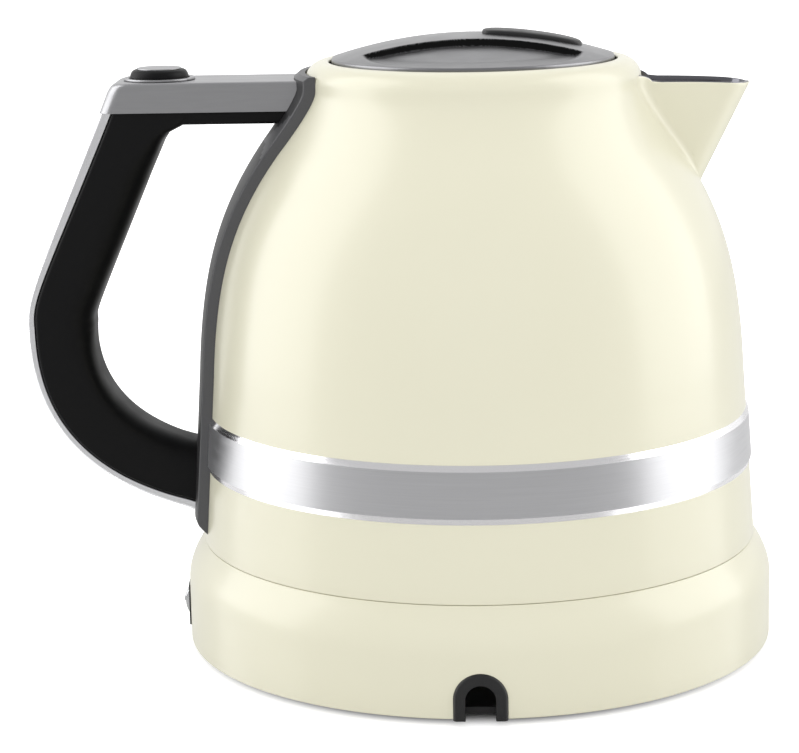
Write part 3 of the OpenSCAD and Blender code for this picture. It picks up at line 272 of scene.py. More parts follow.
def radius_at(path, height):
    """Radius of a rising profile at a height."""
    for a, b in zip(path, path[1:]):
        if a.y <= height <= b.y:
            return a.x + (b.x - a.x) * (height - a.y) / max(b.y - a.y, 1e-9)
    return path[0].x if height < path[0].y else path[-1].x


def jug_wall():
    """The jug's outer profile, from its lower edge to the start of the rolled rim."""
    jug = bpy.context.scene.kettle_jug
    foot = (SHELL_HIGH.x, SHELL_LOW.z)
    waist = (jug.waist_radius, SHELL_LOW.z + jug.waist_rise)
    flare = (jug.flare_radius, waist[1] + jug.dome_rise)
    roll_z = SHELL_HIGH.z - jug.roll_radius
    dome = bezier(
        waist, (waist[0] - 1.8 * MM, waist[1] + jug.dome_rise * 0.437),
        (flare[0] + 17.5 * MM, flare[1] - jug.dome_rise * 0.302), flare, 44
    )
    neck = bezier(
        flare, (flare[0] - 1.2 * MM, flare[1] + 1.6 * MM),
        (jug.neck_radius, roll_z - 7 * MM), (jug.neck_radius, roll_z - 2 * MM), 16
    )
    return line(foot, waist, 14)[:-1] + dome[:-1] + neck + [Vector((jug.neck_radius, roll_z))]


# --- Meshes ------------------------------------------------------------------


def add(tree, kind, links=None, **settings):
    """Adds a node with its settings, and its inputs as values or links."""
    made = tree.nodes.new(kind)
    for name, value in settings.items():
        setattr(made, name, value)
    for name, value in (links or {}).items():
        if isinstance(value, bpy.types.NodeSocket):
            tree.links.new(value, made.inputs[name])
        else:
            made.inputs[name].default_value = value
    return made


def new_tree(name, **inputs):
    """An empty geometry tree, and the sockets of its geometry and of its named inputs."""
    tree = bpy.data.node_groups.new(name, "GeometryNodeTree")
    tree.interface.new_socket("Geometry", in_out="INPUT", socket_type="NodeSocketGeometry")
    for label, kind in inputs.items():
        tree.interface.new_socket(label, in_out="INPUT", socket_type="NodeSocket" + kind)
    tree.interface.new_socket("Geometry", in_out="OUTPUT", socket_type="NodeSocketGeometry")
    return tree, tree.nodes.new("NodeGroupInput").outputs[:len(inputs) + 1]


def ended(tree, geometry, material):
    """Ends a tree: real geometry, with its material."""
    real = add(tree, "GeometryNodeRealizeInstances", {"Geometry": geometry})
    painted = add(tree, "GeometryNodeSetMaterial", {"Geometry": real.outputs[0], "Material": material})
    add(tree, "NodeGroupOutput", {"Geometry": painted.outputs[0]})
    return tree


def turned_tree():
    """Turns a profile round the Z axis: a grid of the profile's points times the segments."""
    tree, (profile, segments, sweep, material) = new_tree(
        "Turned wall", Segments="Int", Sweep="Float", Material="Material"
    )
    rows = add(tree, "GeometryNodeAttributeDomainSize", {"Geometry": profile}).outputs["Point Count"]
    columns = add(tree, "ShaderNodeMath", {0: segments, 1: 1.0}, operation="ADD").outputs[0]
    grid = add(tree, "GeometryNodeMeshGrid", {"Vertices X": columns, "Vertices Y": rows})
    index = add(tree, "GeometryNodeInputIndex").outputs[0]
    share = add(tree, "ShaderNodeMath", {0: index, 1: rows}, operation="DIVIDE").outputs[0]
    column = add(tree, "ShaderNodeMath", {0: share}, operation="FLOOR").outputs[0]
    row = add(tree, "ShaderNodeMath", {0: index, 1: rows}, operation="MODULO").outputs[0]
    point = add(
        tree, "GeometryNodeSampleIndex",
        {"Geometry": profile, "Value": add(tree, "GeometryNodeInputPosition").outputs[0], "Index": row},
        data_type="FLOAT_VECTOR", domain="POINT"
    )
    turn = add(tree, "ShaderNodeMath", {0: column, 1: segments}, operation="DIVIDE").outputs[0]
    angle = add(tree, "ShaderNodeMath", {0: turn, 1: sweep}, operation="MULTIPLY").outputs[0]
    turned = add(
        tree, "ShaderNodeVectorRotate", {"Vector": point.outputs[0], "Angle": angle}, rotation_type="Z_AXIS"
    )
    moved = add(tree, "GeometryNodeSetPosition", {
        "Geometry": grid.outputs["Mesh"], "Position": turned.outputs[0]
    })
    welded = add(tree, "GeometryNodeMergeByDistance", {"Geometry": moved.outputs[0], "Distance": WELD})
    return ended(tree, welded.outputs[0], material)


def ring_tree():
    """Repeats a small shape round the Z axis, from a start angle over a sweep."""
    tree, (shape, count, start, sweep, material) = new_tree(
        "Shapes in a ring", Count="Int", Start="Float", Sweep="Float", Material="Material"
    )
    points = add(tree, "GeometryNodePoints", {"Count": count})
    index = add(tree, "GeometryNodeInputIndex").outputs[0]
    gaps = add(tree, "ShaderNodeMath", {0: count, 1: 1.0}, operation="SUBTRACT").outputs[0]
    turn = add(tree, "ShaderNodeMath", {0: index, 1: gaps}, operation="DIVIDE").outputs[0]
    angle = add(tree, "ShaderNodeMath", {0: turn, 1: sweep, 2: start}, operation="MULTIPLY_ADD").outputs[0]
    heading = add(tree, "ShaderNodeCombineXYZ", {"Z": angle})
    copies = add(
        tree, "GeometryNodeInstanceOnPoints",
        {"Points": points.outputs[0], "Instance": shape, "Rotation": heading.outputs[0]}
    )
    return ended(tree, copies.outputs[0], material)


def coil_tree():
    """A round wire wound into a coil along Z, from z = 0 up."""
    tree, (_, turns, radius, height, wire, material) = new_tree(
        "Coil of wire", Turns="Float", Radius="Float", Height="Float", Wire="Float", Material="Material"
    )
    spiral = add(tree, "GeometryNodeCurveSpiral", {
        "Resolution": 20, "Rotations": turns, "Start Radius": radius, "End Radius": radius, "Height": height
    })
    section = add(tree, "GeometryNodeCurvePrimitiveCircle", {"Resolution": 8, "Radius": wire}, mode="RADIUS")
    solid = add(tree, "GeometryNodeCurveToMesh", {
        "Curve": spiral.outputs[0], "Profile Curve": section.outputs[0], "Fill Caps": True
    })
    return ended(tree, solid.outputs[0], material)


def new_object(name, data):
    """A new object in the scene, at the origin."""
    made = bpy.data.objects.new(name, data)
    bpy.context.scene.collection.objects.link(made)
    return made


def discard(piece):
    """Deletes a piece and its mesh."""
    mesh = piece.data
    bpy.data.objects.remove(piece)
    bpy.data.meshes.remove(mesh)


def baked(piece):
    """Turns what the piece's modifiers make into its plain mesh, and removes them."""
    bpy.context.view_layer.update()
    graph = bpy.context.evaluated_depsgraph_get()
    mesh = bpy.data.meshes.new_from_object(piece.evaluated_get(graph), depsgraph=graph)
    old = piece.data
    piece.modifiers.clear()
    piece.data = mesh
    mesh.name = piece.name
    bpy.data.meshes.remove(old)
    return piece


def made_by(tree, name, mesh, values):
    """A plain piece from a geometry tree, with the tree's inputs set by their identifiers."""
    piece = new_object(name, mesh)
    modifier = piece.modifiers.new("Shape", "NODES")
    modifier.node_group = tree
    for item in tree.interface.items_tree:
        if item.in_out == "INPUT" and item.name in values:
            modifier[item.identifier] = values[item.name]
    return baked(piece)


def mesh_of(name, points, faces=(), edges=()):
    """A mesh from points and what joins them."""
    mesh = bpy.data.meshes.new(name)
    mesh.from_pydata([tuple(p) for p in points], [tuple(e) for e in edges], [tuple(f) for f in faces])
    mesh.update()
    return mesh


@contextlib.contextmanager
def editing(piece):
    """The piece's mesh as an editable form, which is written back at the end."""
    form = bmesh.new()
    form.from_mesh(piece.data)
    yield form
    form.to_mesh(piece.data)
    form.free()


def outward(piece):
    """Closes the piece's open ends, welds it and turns its faces outwards."""
    with editing(piece) as form:
        bmesh.ops.remove_doubles(form, verts=form.verts, dist=WELD)
        rims = [edge for edge in form.edges if edge.is_boundary]
        if rims:
            bmesh.ops.holes_fill(form, edges=rims, sides=0)
        bmesh.ops.recalc_face_normals(form, faces=form.faces)
        if form.calc_volume(signed=True) < 0:
            bmesh.ops.reverse_faces(form, faces=form.faces)
    return piece


def shaded(piece, sharp=38):
    """Smooth faces, with edges sharper than an angle in degrees kept crisp."""
    mesh = piece.data
    mesh.shade_smooth()
    mesh.set_sharp_from_angle(angle=math.radians(sharp))
    return piece


def softened(piece, width):
    """Rounds the piece's hard edges by a real bevel and keeps its flat faces flat."""
    bevel = piece.modifiers.new("Bevel", "BEVEL")
    bevel.width = width
    bevel.segments = 3
    bevel.limit_method = "ANGLE"
    bevel.angle_limit = math.radians(32)
    bevel.use_clamp_overlap = True
    bevel.miter_outer = "MITER_ARC"
    baked(piece)
    shaded(piece, 50)
    weight = piece.modifiers.new("Normals", "WEIGHTED_NORMAL")
    weight.keep_sharp = True
    return baked(piece)


def spun(name, profile, material, segments, sweep=360.0, start=0.0):
    """The bare wall that the turning tree makes of a profile, over a sweep in degrees."""
    turn = Matrix.Rotation(math.radians(start), 3, "Z")
    points = [turn @ Vector((p.x, 0, p.y)) for p in profile]
    mesh = mesh_of(name, points, edges=[(i, i + 1) for i in range(len(points) - 1)])
    values = {"Segments": segments, "Sweep": math.radians(sweep), "Material": material}
    return made_by(TREES["turned"], name, mesh, values)


def turned(name, profile, material, segments=192, sweep=360.0, start=0.0, sharp=38):
    """A wall turned round the Z axis from a profile of (radius, height) points, which closes on itself."""
    loop = list(profile)
    if loop[0].x > WELD or loop[-1].x > WELD:
        loop.append(loop[0])
    return shaded(outward(spun(name, loop, material, segments, sweep, start)), sharp)


def lofted(name, rings, material):
    """A closed solid through rings of points, each with as many points, with its ends closed."""
    count = len(rings[0])
    points = [p for ring in rings for p in ring]
    faces = [tuple(range(count))]
    for i in range(len(rings) - 1):
        for j in range(count):
            k = (j + 1) % count
            faces.append((i * count + j, (i + 1) * count + j, (i + 1) * count + k, i * count + k))
    faces.append(tuple((len(rings) - 1) * count + j for j in range(count)))
    piece = new_object(name, mesh_of(name, points, faces))
    piece.data.materials.append(material)
    return outward(piece)


def outlined(x0, x1, y0, y1):
    """The corners of a rectangle."""
    return vectors((x0, y0), (x1, y0), (x1, y1), (x0, y1))


def block(x0, x1, y0, y1, z0, z1):
    """A box as a cutter."""
    return lofted("cutter", [raised(outlined(x0, x1, y0, y1), z) for z in (z0, z1)], None)


def rod(centre, radius, z0, z1, count=96):
    """An upright cylinder as a cutter."""
    circle = arc(centre, radius, 0, 360 * (count - 1) / count, count - 1)
    return lofted("cutter", [raised(circle, z) for z in (z0, z1)], None)


def cut(piece, *cutters):
    """Cuts the cutters out of the piece and deletes them."""
    for cutter in cutters:
        modifier = piece.modifiers.new("Cut", "BOOLEAN")
        modifier.object = cutter
        modifier.solver = "EXACT"
        baked(piece)
        discard(cutter)
    return piece


def coil(name, turns, radius, height, wire):
    """A coil of steel wire along Z."""
    values = {"Turns": turns, "Radius": radius, "Height": height, "Wire": wire}
    values["Material"] = MATERIALS["steel"]
    return made_by(TREES["coil"], name, bpy.data.meshes.new("coil"), values)


# Where cutters of the jug's back wall start, well outside it.
OUTSIDE = -110 * MM


def slider_slot():
    """The slot of the release slider through the bracket and the jug's neck, as a cutter."""
    half, tall, low = 6.35 * MM, 3.7 * MM, ROD_LOW.z - 0.35 * MM
    return block(OUTSIDE, -41 * MM, -half, half, low, low + tall)


def place(piece, body, slot, *nodes):
    """The piece moves with the body and stands for the CAD nodes; the slot is not used."""
    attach(piece, body)
    if nodes:
        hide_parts(*nodes)
    return piece


def stand_for(piece, node):
    """The piece stands for one CAD node, with that node's body and slot."""
    return place(piece, body_of(node), slot_of(node), node)


def body_of(node):
    """The body that a CAD node belongs to."""
    bodies = frame["record"]["behaviour"]["bodies"]
    return next(body for body, members in bodies.items() if node in members)


def slot_of(node):
    """The material slot that the record gives a CAD node."""
    return next(part["material_slot"] for part in frame["record"]["subparts"] if part["node"] == node)


def dressed(node, finish_key, bevel):
    """A softened copy of a CAD node, which stands for it: edges rounded by bevel millimetres."""
    piece = new_object(node + "_moulding", NODES[node].data.copy())
    repainted(piece, finish_key)
    with editing(piece) as form:
        bmesh.ops.remove_doubles(form, verts=form.verts, dist=2 * WELD)
        bmesh.ops.dissolve_limit(
            form, angle_limit=math.radians(1.0), verts=form.verts, edges=form.edges,
            use_dissolve_boundaries=False
        )
        for face in form.faces:
            face.material_index = 0
    softened(piece, bevel * MM)
    return stand_for(piece, node)


def dress_all(*rows):
    """Dresses CAD nodes: rows of a node, its finish and its bevel in millimetres."""
    for row in rows:
        dressed(*row)


def repainted(piece, *finish_keys):
    """Gives a piece these finishes and no others."""
    slots = piece.data.materials
    slots.clear()
    for key in finish_keys:
        slots.append(MATERIALS[key])


def painted(finish_key, *nodes):
    """Gives CAD nodes that keep their own shape a finish."""
    for node in nodes:
        repainted(NODES[node], finish_key)


# --- Materials ---------------------------------------------------------------

# A pattern that isn't drawn out along any axis.
EVEN = (1, 1, 1)
# The near-black colour of the painted shade on the walls of the lid's recesses.
RECESS_SHADE = (0.012, 0.012, 0.012, 1)


def surface(name, base, metallic=0.0, roughness=0.5, **sockets):
    """A new material with its shader's constant sockets set."""
    made = bpy.data.materials.new(name)
    made.use_nodes = True
    tree = made.node_tree
    shader = tree.nodes["Principled BSDF"]
    shader.inputs["Base Color"].default_value = (*base, 1)
    shader.inputs["Metallic"].default_value = metallic
    shader.inputs["Roughness"].default_value = roughness
    for label, value in sockets.items():
        shader.inputs[label.replace("_", " ")].default_value = value
    made.diffuse_color = (*base, 1)
    return made, tree, shader


def noise(tree, size, stretch=EVEN, detail=2.0):
    """A noise whose features are about size millimetres across, drawn out along an axis by stretch."""
    where = add(tree, "ShaderNodeTexCoord").outputs["Object"]
    scale = tuple(1 / (size * MM * s) for s in stretch)
    scaled = add(tree, "ShaderNodeMapping", {"Vector": where, "Scale": scale})
    made = add(tree, "ShaderNodeTexNoise", {
        "Vector": scaled.outputs[0], "Scale": 1.0, "Detail": detail, "Roughness": 0.5
    })
    return made.outputs["Fac"]


def mottle(tree, shader, base, size, spread, stretch=EVEN):
    """Lets the colour drift a little lighter and darker over size millimetres."""
    dark = tuple(c * (1 - spread) for c in base) + (1,)
    light = tuple(min(c * (1 + spread), 1) for c in base) + (1,)
    mix = add(tree, "ShaderNodeMixRGB", {"Fac": noise(tree, size, stretch), "Color1": dark, "Color2": light})
    tree.links.new(mix.outputs[0], shader.inputs["Base Color"])


def darkened(tree, shader):
    """Darkens the walls of the lid's recesses, which the attribute marks, with painted shade."""
    steep = add(tree, "ShaderNodeAttribute", attribute_name="steep").outputs["Fac"]
    light = shader.inputs["Base Color"].links[0].from_socket
    shade = add(tree, "ShaderNodeMixRGB", {"Fac": steep, "Color1": light, "Color2": RECESS_SHADE})
    tree.links.new(shade.outputs[0], shader.inputs["Base Color"])


def gloss_drift(tree, shader, low, high, size, stretch=EVEN):
    """Lets the roughness drift between two values over size millimetres."""
    span = add(tree, "ShaderNodeMapRange", {
        "Value": noise(tree, size, stretch), "From Min": 0.3, "From Max": 0.7, "To Min": low, "To Max": high
    })
    tree.links.new(span.outputs[0], shader.inputs["Roughness"])


def relief(tree, shader, size, depth, stretch=EVEN, detail=2.0):
    """Raises and sinks the surface by depth over size, both in millimetres."""
    bump = add(tree, "ShaderNodeBump", {
        "Height": noise(tree, size, stretch, detail), "Distance": depth * MM, "Strength": 1.0
    })
    tree.links.new(bump.outputs[0], shader.inputs["Normal"])


def finish(name, hue, drift=(), gloss=(), grain=(), steep=False, **sockets):
    """A material whose hue is a hex code or a colour property's name.

    drift, gloss and grain are what mottle, gloss_drift and relief take after the shader.
    """
    base = linear(hue) if hue.startswith("#") else getattr(bpy.context.scene.kettle_finishes, hue)
    made, tree, shader = surface(name, base, **sockets)
    if drift:
        mottle(tree, shader, base, *drift)
    # The walls of the lid's recesses get painted shade.
    if steep:
        darkened(tree, shader)
    if gloss:
        gloss_drift(tree, shader, *gloss)
    if grain:
        relief(tree, shader, *grain)
    return made


# A comment over each finish says what it gives the eye.
FINISHES = {
    # Vitreous enamel, fired on steel: a hard wet gloss with a faint orange peel.
    "enamel": dict(
        name="fired_enamel", hue="enamel", drift=(45, 0.012), grain=(7, 0.012, EVEN, 1.0), roughness=0.3,
        IOR=1.5, Coat_Weight=0.3, Coat_Roughness=0.18, Coat_IOR=1.5,
    ),
    # Die-cast zinc, satin plated: soft long highlights over a fine along-the-arm grain.
    "arm": dict(
        name="satin_cast_zinc", hue="arm", drift=(0.8, 0.05, (14, 1, 1)), gloss=(0.31, 0.42, 3, (6, 1, 1)),
        grain=(0.45, 0.004, (20, 1, 1)), metallic=1.0, roughness=0.36,
    ),
    # Pressed steel with a satin blasted face: an even grey sheen with a fine sparkle, and painted shade darkening
    # the walls of its recesses.
    "lid": dict(
        name="satin_blasted_steel", hue="lid", drift=(0.5, 0.07), steep=True, gloss=(0.3, 0.38, 9),
        grain=(0.4, 0.003), metallic=1.0, roughness=0.34,
    ),
    # Die-cast zinc, satin chromed: pale, with a fine grain along the grip.
    "spine": dict(
        name="satin_chrome", hue="spine", drift=(0.7, 0.04, (1, 1, 12)), gloss=(0.26, 0.36, 4, (1, 1, 5)),
        metallic=1.0, roughness=0.3,
    ),
    # Brushed stainless steel: hair-fine lines round the band, drawn coarser than real so that they show.
    "band": dict(
        name="brushed_stainless_band", hue="band", drift=(0.45, 0.06, (60, 60, 1)),
        gloss=(0.3, 0.38, 0.6, (40, 40, 1)), grain=(0.5, 0.004, (60, 60, 1)), metallic=1.0, roughness=0.3,
    ),
    # Diamond-cut stainless steel: the bright bevels of the band.
    "edge": dict(
        name="diamond_cut_steel", hue="#F2F1F3", gloss=(0.13, 0.22, 0.8, (30, 30, 1)), metallic=1.0,
        roughness=0.16,
    ),
    # Moulded ABS with a satin metallic paint: dark grey with a soft sheen.
    "bracket": dict(
        name="satin_painted_abs", hue="bracket", drift=(0.35, 0.09), grain=(0.3, 0.006), roughness=0.42,
        IOR=1.5,
    ),
    # Moulded soft-touch thermoplastic: near black, with a fine spark-eroded grain.
    "grip": dict(
        name="soft_touch_grip", hue="grip", gloss=(0.38, 0.5, 14), grain=(0.35, 0.01), roughness=0.45,
        IOR=1.5, Specular_IOR_Level=0.15,
    ),
    # Moulded black polypropylene: plain interior and underside plastic with a fine grain.
    "moulding": dict(
        name="moulded_polypropylene", hue="#1F1F20", drift=(2, 0.06), grain=(0.5, 0.015), roughness=0.45,
        IOR=1.49,
    ),
    # Moulded glossy black nylon: dark, with a soft light line on its rounded edge.
    "grommet": dict(name="moulded_nylon", hue="#151516", gloss=(0.26, 0.36, 6), roughness=0.3, IOR=1.5),
    # Moulded grey ABS of the lid's collar and plug: dull and even.
    "grey": dict(
        name="moulded_grey_abs", hue="#3C3D40", drift=(1.5, 0.05), grain=(0.4, 0.01), roughness=0.4, IOR=1.5
    ),
    # Moulded pale polypropylene: slightly milky, as food-contact parts are.
    "ivory": dict(
        name="moulded_ivory", hue="#DCDAD0", drift=(5, 0.03), roughness=0.4, IOR=1.49, Subsurface_Weight=0.05,
        Subsurface_Radius=(2 * MM, 2 * MM, 1.5 * MM),
    ),
    # Moulded black rubber: matt and slightly dusty.
    "rubber": dict(
        name="moulded_rubber", hue="#17171A", drift=(3, 0.18), grain=(0.6, 0.02), roughness=0.7, IOR=1.52
    ),
    # Moulded soft black rubber of the lid's pad: smooth, with a satin top.
    "pad": dict(
        name="pad_rubber", hue="#141415", gloss=(0.36, 0.46, 5), grain=(0.4, 0.006), roughness=0.4, IOR=1.5
    ),
    # Moulded silicone rubber of the seal: pale and translucent.
    "silicone": dict(
        name="moulded_silicone", hue="#CFCFCB", drift=(4, 0.04), roughness=0.35, IOR=1.41,
        Subsurface_Weight=0.3, Subsurface_Radius=(3 * MM, 3 * MM, 3 * MM),
    ),
    # Spun stainless steel: rings of fine turning marks inside the jug.
    "vessel": dict(
        name="spun_stainless", hue="#C9CACC", drift=(0.6, 0.08, (50, 50, 1)),
        gloss=(0.22, 0.36, 1.2, (30, 30, 1)), metallic=1.0, roughness=0.28,
    ),
    # Electropolished stainless steel of the pouring channel: mirror-like, with its colour darkened as painted
    # shade inside the spout.
    "spout": dict(
        name="electropolished_steel", hue="#6E6E73", gloss=(0.1, 0.2, 6), metallic=1.0, roughness=0.14
    ),
    # Drawn and tumbled steel of wire, pins and screws: bright, with a soft uneven gloss.
    "steel": dict(
        name="tumbled_steel", hue="#B9BBBE", drift=(1.5, 0.08), gloss=(0.2, 0.36, 2), metallic=1.0,
        roughness=0.27,
    ),
    # Chrome plate on plastic: a mirror with faint drift in its gloss.
    "chrome": dict(name="chrome_plate", hue="#D9DADC", gloss=(0.08, 0.16, 8), metallic=1.0, roughness=0.12),
    # Rolled brass of the contacts, with a little tarnish.
    "brass": dict(
        name="rolled_brass", hue="#C8A254", drift=(3, 0.14), gloss=(0.22, 0.42, 2), metallic=1.0,
        roughness=0.3,
    ),
    # Aluminium of the heater plate: the dull streaks of a mill finish.
    "aluminium": dict(
        name="mill_aluminium", hue="#AEB0B3", drift=(2, 0.1, (8, 1, 1)), metallic=1.0, roughness=0.42
    ),
    # Glass-fibre board under green solder resist, with a faint weave.
    "board": dict(
        name="solder_resist", hue="#2E6A40", drift=(0.9, 0.12), grain=(0.9, 0.01), roughness=0.35, IOR=1.55
    ),
    # Extruded PVC sleeve of the mains wires: brown, with a dull gloss.
    "wire": dict(name="extruded_sleeve", hue="#7C4C2C", drift=(4, 0.06), roughness=0.4, IOR=1.53),
    # Clear moulded copolyester of the level window: tinted, with soft internal haze.
    "window": dict(
        name="clear_copolyester", hue="#C9D3DA", gloss=(0.05, 0.14, 9), roughness=0.08, IOR=1.56,
        Transmission_Weight=0.85,
    ),
    # Pressed soda glass of the thermometer's lens: thin and mostly clear.
    "glass": dict(
        name="pressed_glass", hue="#F4F8F8", gloss=(0.0, 0.04, 12), roughness=0.02, IOR=1.45,
        Transmission_Weight=1.0, Alpha=0.18,
    ),
    # Stove-enamelled aluminium of the dial: matt white.
    "dial": dict(name="stove_enamel", hue="#F1F0EA", drift=(6, 0.015), roughness=0.45, IOR=1.5),
    # Screen-printed ink of the dial's marks: matt black.
    "ink": dict(name="screen_ink", hue="#1B1B1D", drift=(1, 0.1), roughness=0.5, IOR=1.5),
}
MATERIALS = {}
TREES = {}


# --- Shapes of the pieces ----------------------------------------------------


def sheet(name, rows, material):
    """A closed sheet from rows of points, whose second half comes back on the inner side of its first."""
    count = len(rows[0])
    last = len(rows) - 1
    points = [p for row in rows for p in row]
    faces = []
    for i in range(last):
        for j in range(count - 1):
            faces.append((i * count + j, i * count + j + 1, (i + 1) * count + j + 1, (i + 1) * count + j))
    for j in (0, count - 1):
        for i in range(last // 2):
            k = last - i
            faces.append((i * count + j, (i + 1) * count + j, (k - 1) * count + j, k * count + j))
    for j in range(count - 1):
        faces.append((j, j + 1, last * count + j + 1, last * count + j))
    piece = new_object(name, mesh_of(name, points, faces))
    piece.data.materials.append(material)
    return shaded(outward(piece), 50)


# Steps along half of the spout's plan: its blend into the jug, its side and its nose.
BLEND_STEPS, SIDE_STEPS, NOSE_STEPS = 10, 8, 14
# Up to this point of the plan the sheet keeps its thickness. From there it may thin towards the tip.
FULL_POINTS = 25
# How far out from the spout's root its rim starts to fall.
LEVEL_RUN = 24 * MM
# How far the spout's root lies inside the neck, and how far its tip stands out of the CAD's.
ROOT_IN, TIP_OUT = 26 * MM, 1.9 * MM
# How the spout widens from its tip to its root.
SPREAD = math.tan(math.radians(4))
# How far the spout is sunk into the jug's wall, along it in radians and into it.
SUNK_TURN, SUNK_IN = 0.02, 0.7 * MM


def spout_levels():
    """The spout's driving places: heights of its rim and its lowest point, and its root and tip."""
    jug, spout = bpy.context.scene.kettle_jug, bpy.context.scene.kettle_spout
    rim = SHELL_HIGH.z - spout.drop
    return rim, rim - spout.depth, jug.neck_radius - ROOT_IN, SPOUT_HIGH.x + TIP_OUT


def spout_plan(wall, height):
    """Half of the spout's outline at a height, from the jug to the tip: points with outward directions."""
    sizes = bpy.context.scene.kettle_spout
    rim, low, root_x, tip_x = spout_levels()
    share = (height - low) / (rim - low)
    nose = sizes.nose_low + (sizes.nose - sizes.nose_low) * share
    low_x = radius_at(wall, low) - 0.6 * MM
    centre = Vector((low_x + (tip_x - low_x) * share - nose, 0))
    spread = sizes.nose + (tip_x - sizes.nose - root_x) * SPREAD
    root = Vector((root_x, sizes.nose_low + (spread - sizes.nose_low) * share))
    reach = centre - root
    heading = math.atan2(reach.y, reach.x) + math.asin(nose / reach.length)
    along = ray_at(heading)
    out = Vector((-along.y, along.x))
    side = out.dot(centre) + nose
    radius = radius_at(wall, height)
    foot_blend = 2.5 * MM
    blend = foot_blend + (sizes.blend - foot_blend) * clamped(share)
    run = leg(radius + blend, side + blend)
    if run <= along.dot(centre):
        pivot = (side + blend) * out + run * along
        facing = out
        touch = pivot - blend * out
    else:
        x = (centre.x ** 2 + (radius + blend) ** 2 - (nose + blend) ** 2) / (2 * centre.x)
        pivot = Vector((x, leg(radius + blend, x)))
        facing = (pivot - centre).normalized()
        touch = centre + nose * facing
    leave = pivot.normalized()
    first = math.atan2(-leave.y, -leave.x)
    turn = (math.atan2(-facing.y, -facing.x) - first + math.pi) % (2 * math.pi) - math.pi
    start = pivot - blend * leave
    sunk = Matrix.Rotation(SUNK_TURN, 2) @ start * ((radius - SUNK_IN) / radius)
    plan = [(sunk, leave)]
    for i in range(BLEND_STEPS + 1):
        angle = first + turn * i / BLEND_STEPS
        ray = ray_at(angle)
        plan.append((pivot + blend * ray, -ray))
    nose_touch = centre + nose * facing
    for i in range(1, SIDE_STEPS + 1):
        plan.append((touch.lerp(nose_touch, i / SIDE_STEPS), facing))
    angle = math.atan2(facing.y, facing.x)
    for i in range(1, NOSE_STEPS + 1):
        ray = ray_at(angle * (1 - i / NOSE_STEPS))
        plan.append((centre + nose * ray, ray))
    return plan, start


def spout_rows(wall, outside, inside, drop, lobe):
    """Rows of a spout's sheet between two depths under the spout's outline, with a half-round rim."""
    sizes = bpy.context.scene.kettle_spout
    rim, low, root_x, tip_x = spout_levels()
    foot = low
    while radius_at(wall, foot) > spout_plan(wall, foot)[0][-1][0].x - 0.02 * MM:
        foot += 0.05 * MM
    columns = len(spout_plan(wall, rim)[0])
    half = (inside - outside) / 2
    tops = []
    for j in range(columns):
        height = rim
        for _ in range(6):
            plan, start = spout_plan(wall, height)
            place_now = plan[j][0]
            away = (place_now - start).length / sizes.lobe_width
            rise = lobe * (1 - away ** 3) ** 0.6 if away < 1 else 0
            along = clamped((place_now.x - root_x - LEVEL_RUN) / (tip_x - root_x - LEVEL_RUN))
            height = rim + sizes.rim_rise - sizes.rim_fall * along ** 2.5 - drop + rise
        tops.append(height)
    rows = []
    # Levels from the foot to the rim, closer together at the foot, and steps over the rim.
    levels, rim_steps = 46, 8
    shares = [(i / levels) ** 1.4 for i in range(levels + 1)]
    arcs = [math.pi * i / rim_steps for i in range(1, rim_steps)]

    def ring(depth, share=None, lift=0.0, swing=0.0):
        row = []
        for j in range(columns):
            top = tops[j] - half
            height = top if share is None else foot + (top - foot) * share
            plan = spout_plan(wall, height)[0]
            point, ray = plan[j]
            room = 0.9 * (plan[-1][0] - point).length + 0.2 * MM + depth * (j < FULL_POINTS)
            moved = point - min(depth - swing, room) * ray
            row.append(Vector((moved.x, max(moved.y, 0), height + lift)))
        return row + mirrored(row[:-1])

    for share in shares:
        rows.append(ring(outside, share))
    middle = (outside + inside) / 2
    for angle in arcs:
        rows.append(ring(middle, None, half * math.sin(angle), half * math.cos(angle)))
    for share in reversed(shares):
        rows.append(ring(inside, share))
    return rows


# The radius over which the lid's top turns down into its edge.
LID_ROLL = 0.8 * MM


def lid_height(x, y, recess=True):
    """Height of the lid's top above its edge, with or without its two recesses."""
    sizes = bpy.context.scene.kettle_lid
    edge_r = LID_HIGH.x - LID_ROLL
    crown = LID_HIGH.z - LID_LOW.z - sizes.skirt
    sphere = (edge_r ** 2 + crown ** 2) / (2 * crown)
    dome = crown - sphere + math.sqrt(max(sphere ** 2 - x * x - y * y, 0))
    if not recess:
        return dome
    half = sizes.recess_half
    past = abs(y) - sizes.ridge_half - sizes.bow * (x / half) ** 2
    if past <= 0 or abs(x) >= half:
        return dome
    reach = edge_r + 2 * MM - sizes.ridge_half
    spread = math.hypot(x / half, past / reach)
    # The recess fades out over its last tenth.
    fade = eased(clamped((1 - spread) / 0.1))
    # Near the edge the recess takes 0.72 of the dome's height, with a soft change between the two.
    soft = 0.35 * MM
    a, b = sizes.recess_depth, 0.72 * max(dome, 0)
    blend = max(soft - abs(a - b), 0) / soft
    depth = min(a, b) - blend * blend * soft / 4
    return dome - max(depth, 0) * fade * eased(min(past / sizes.wall_run, 1))


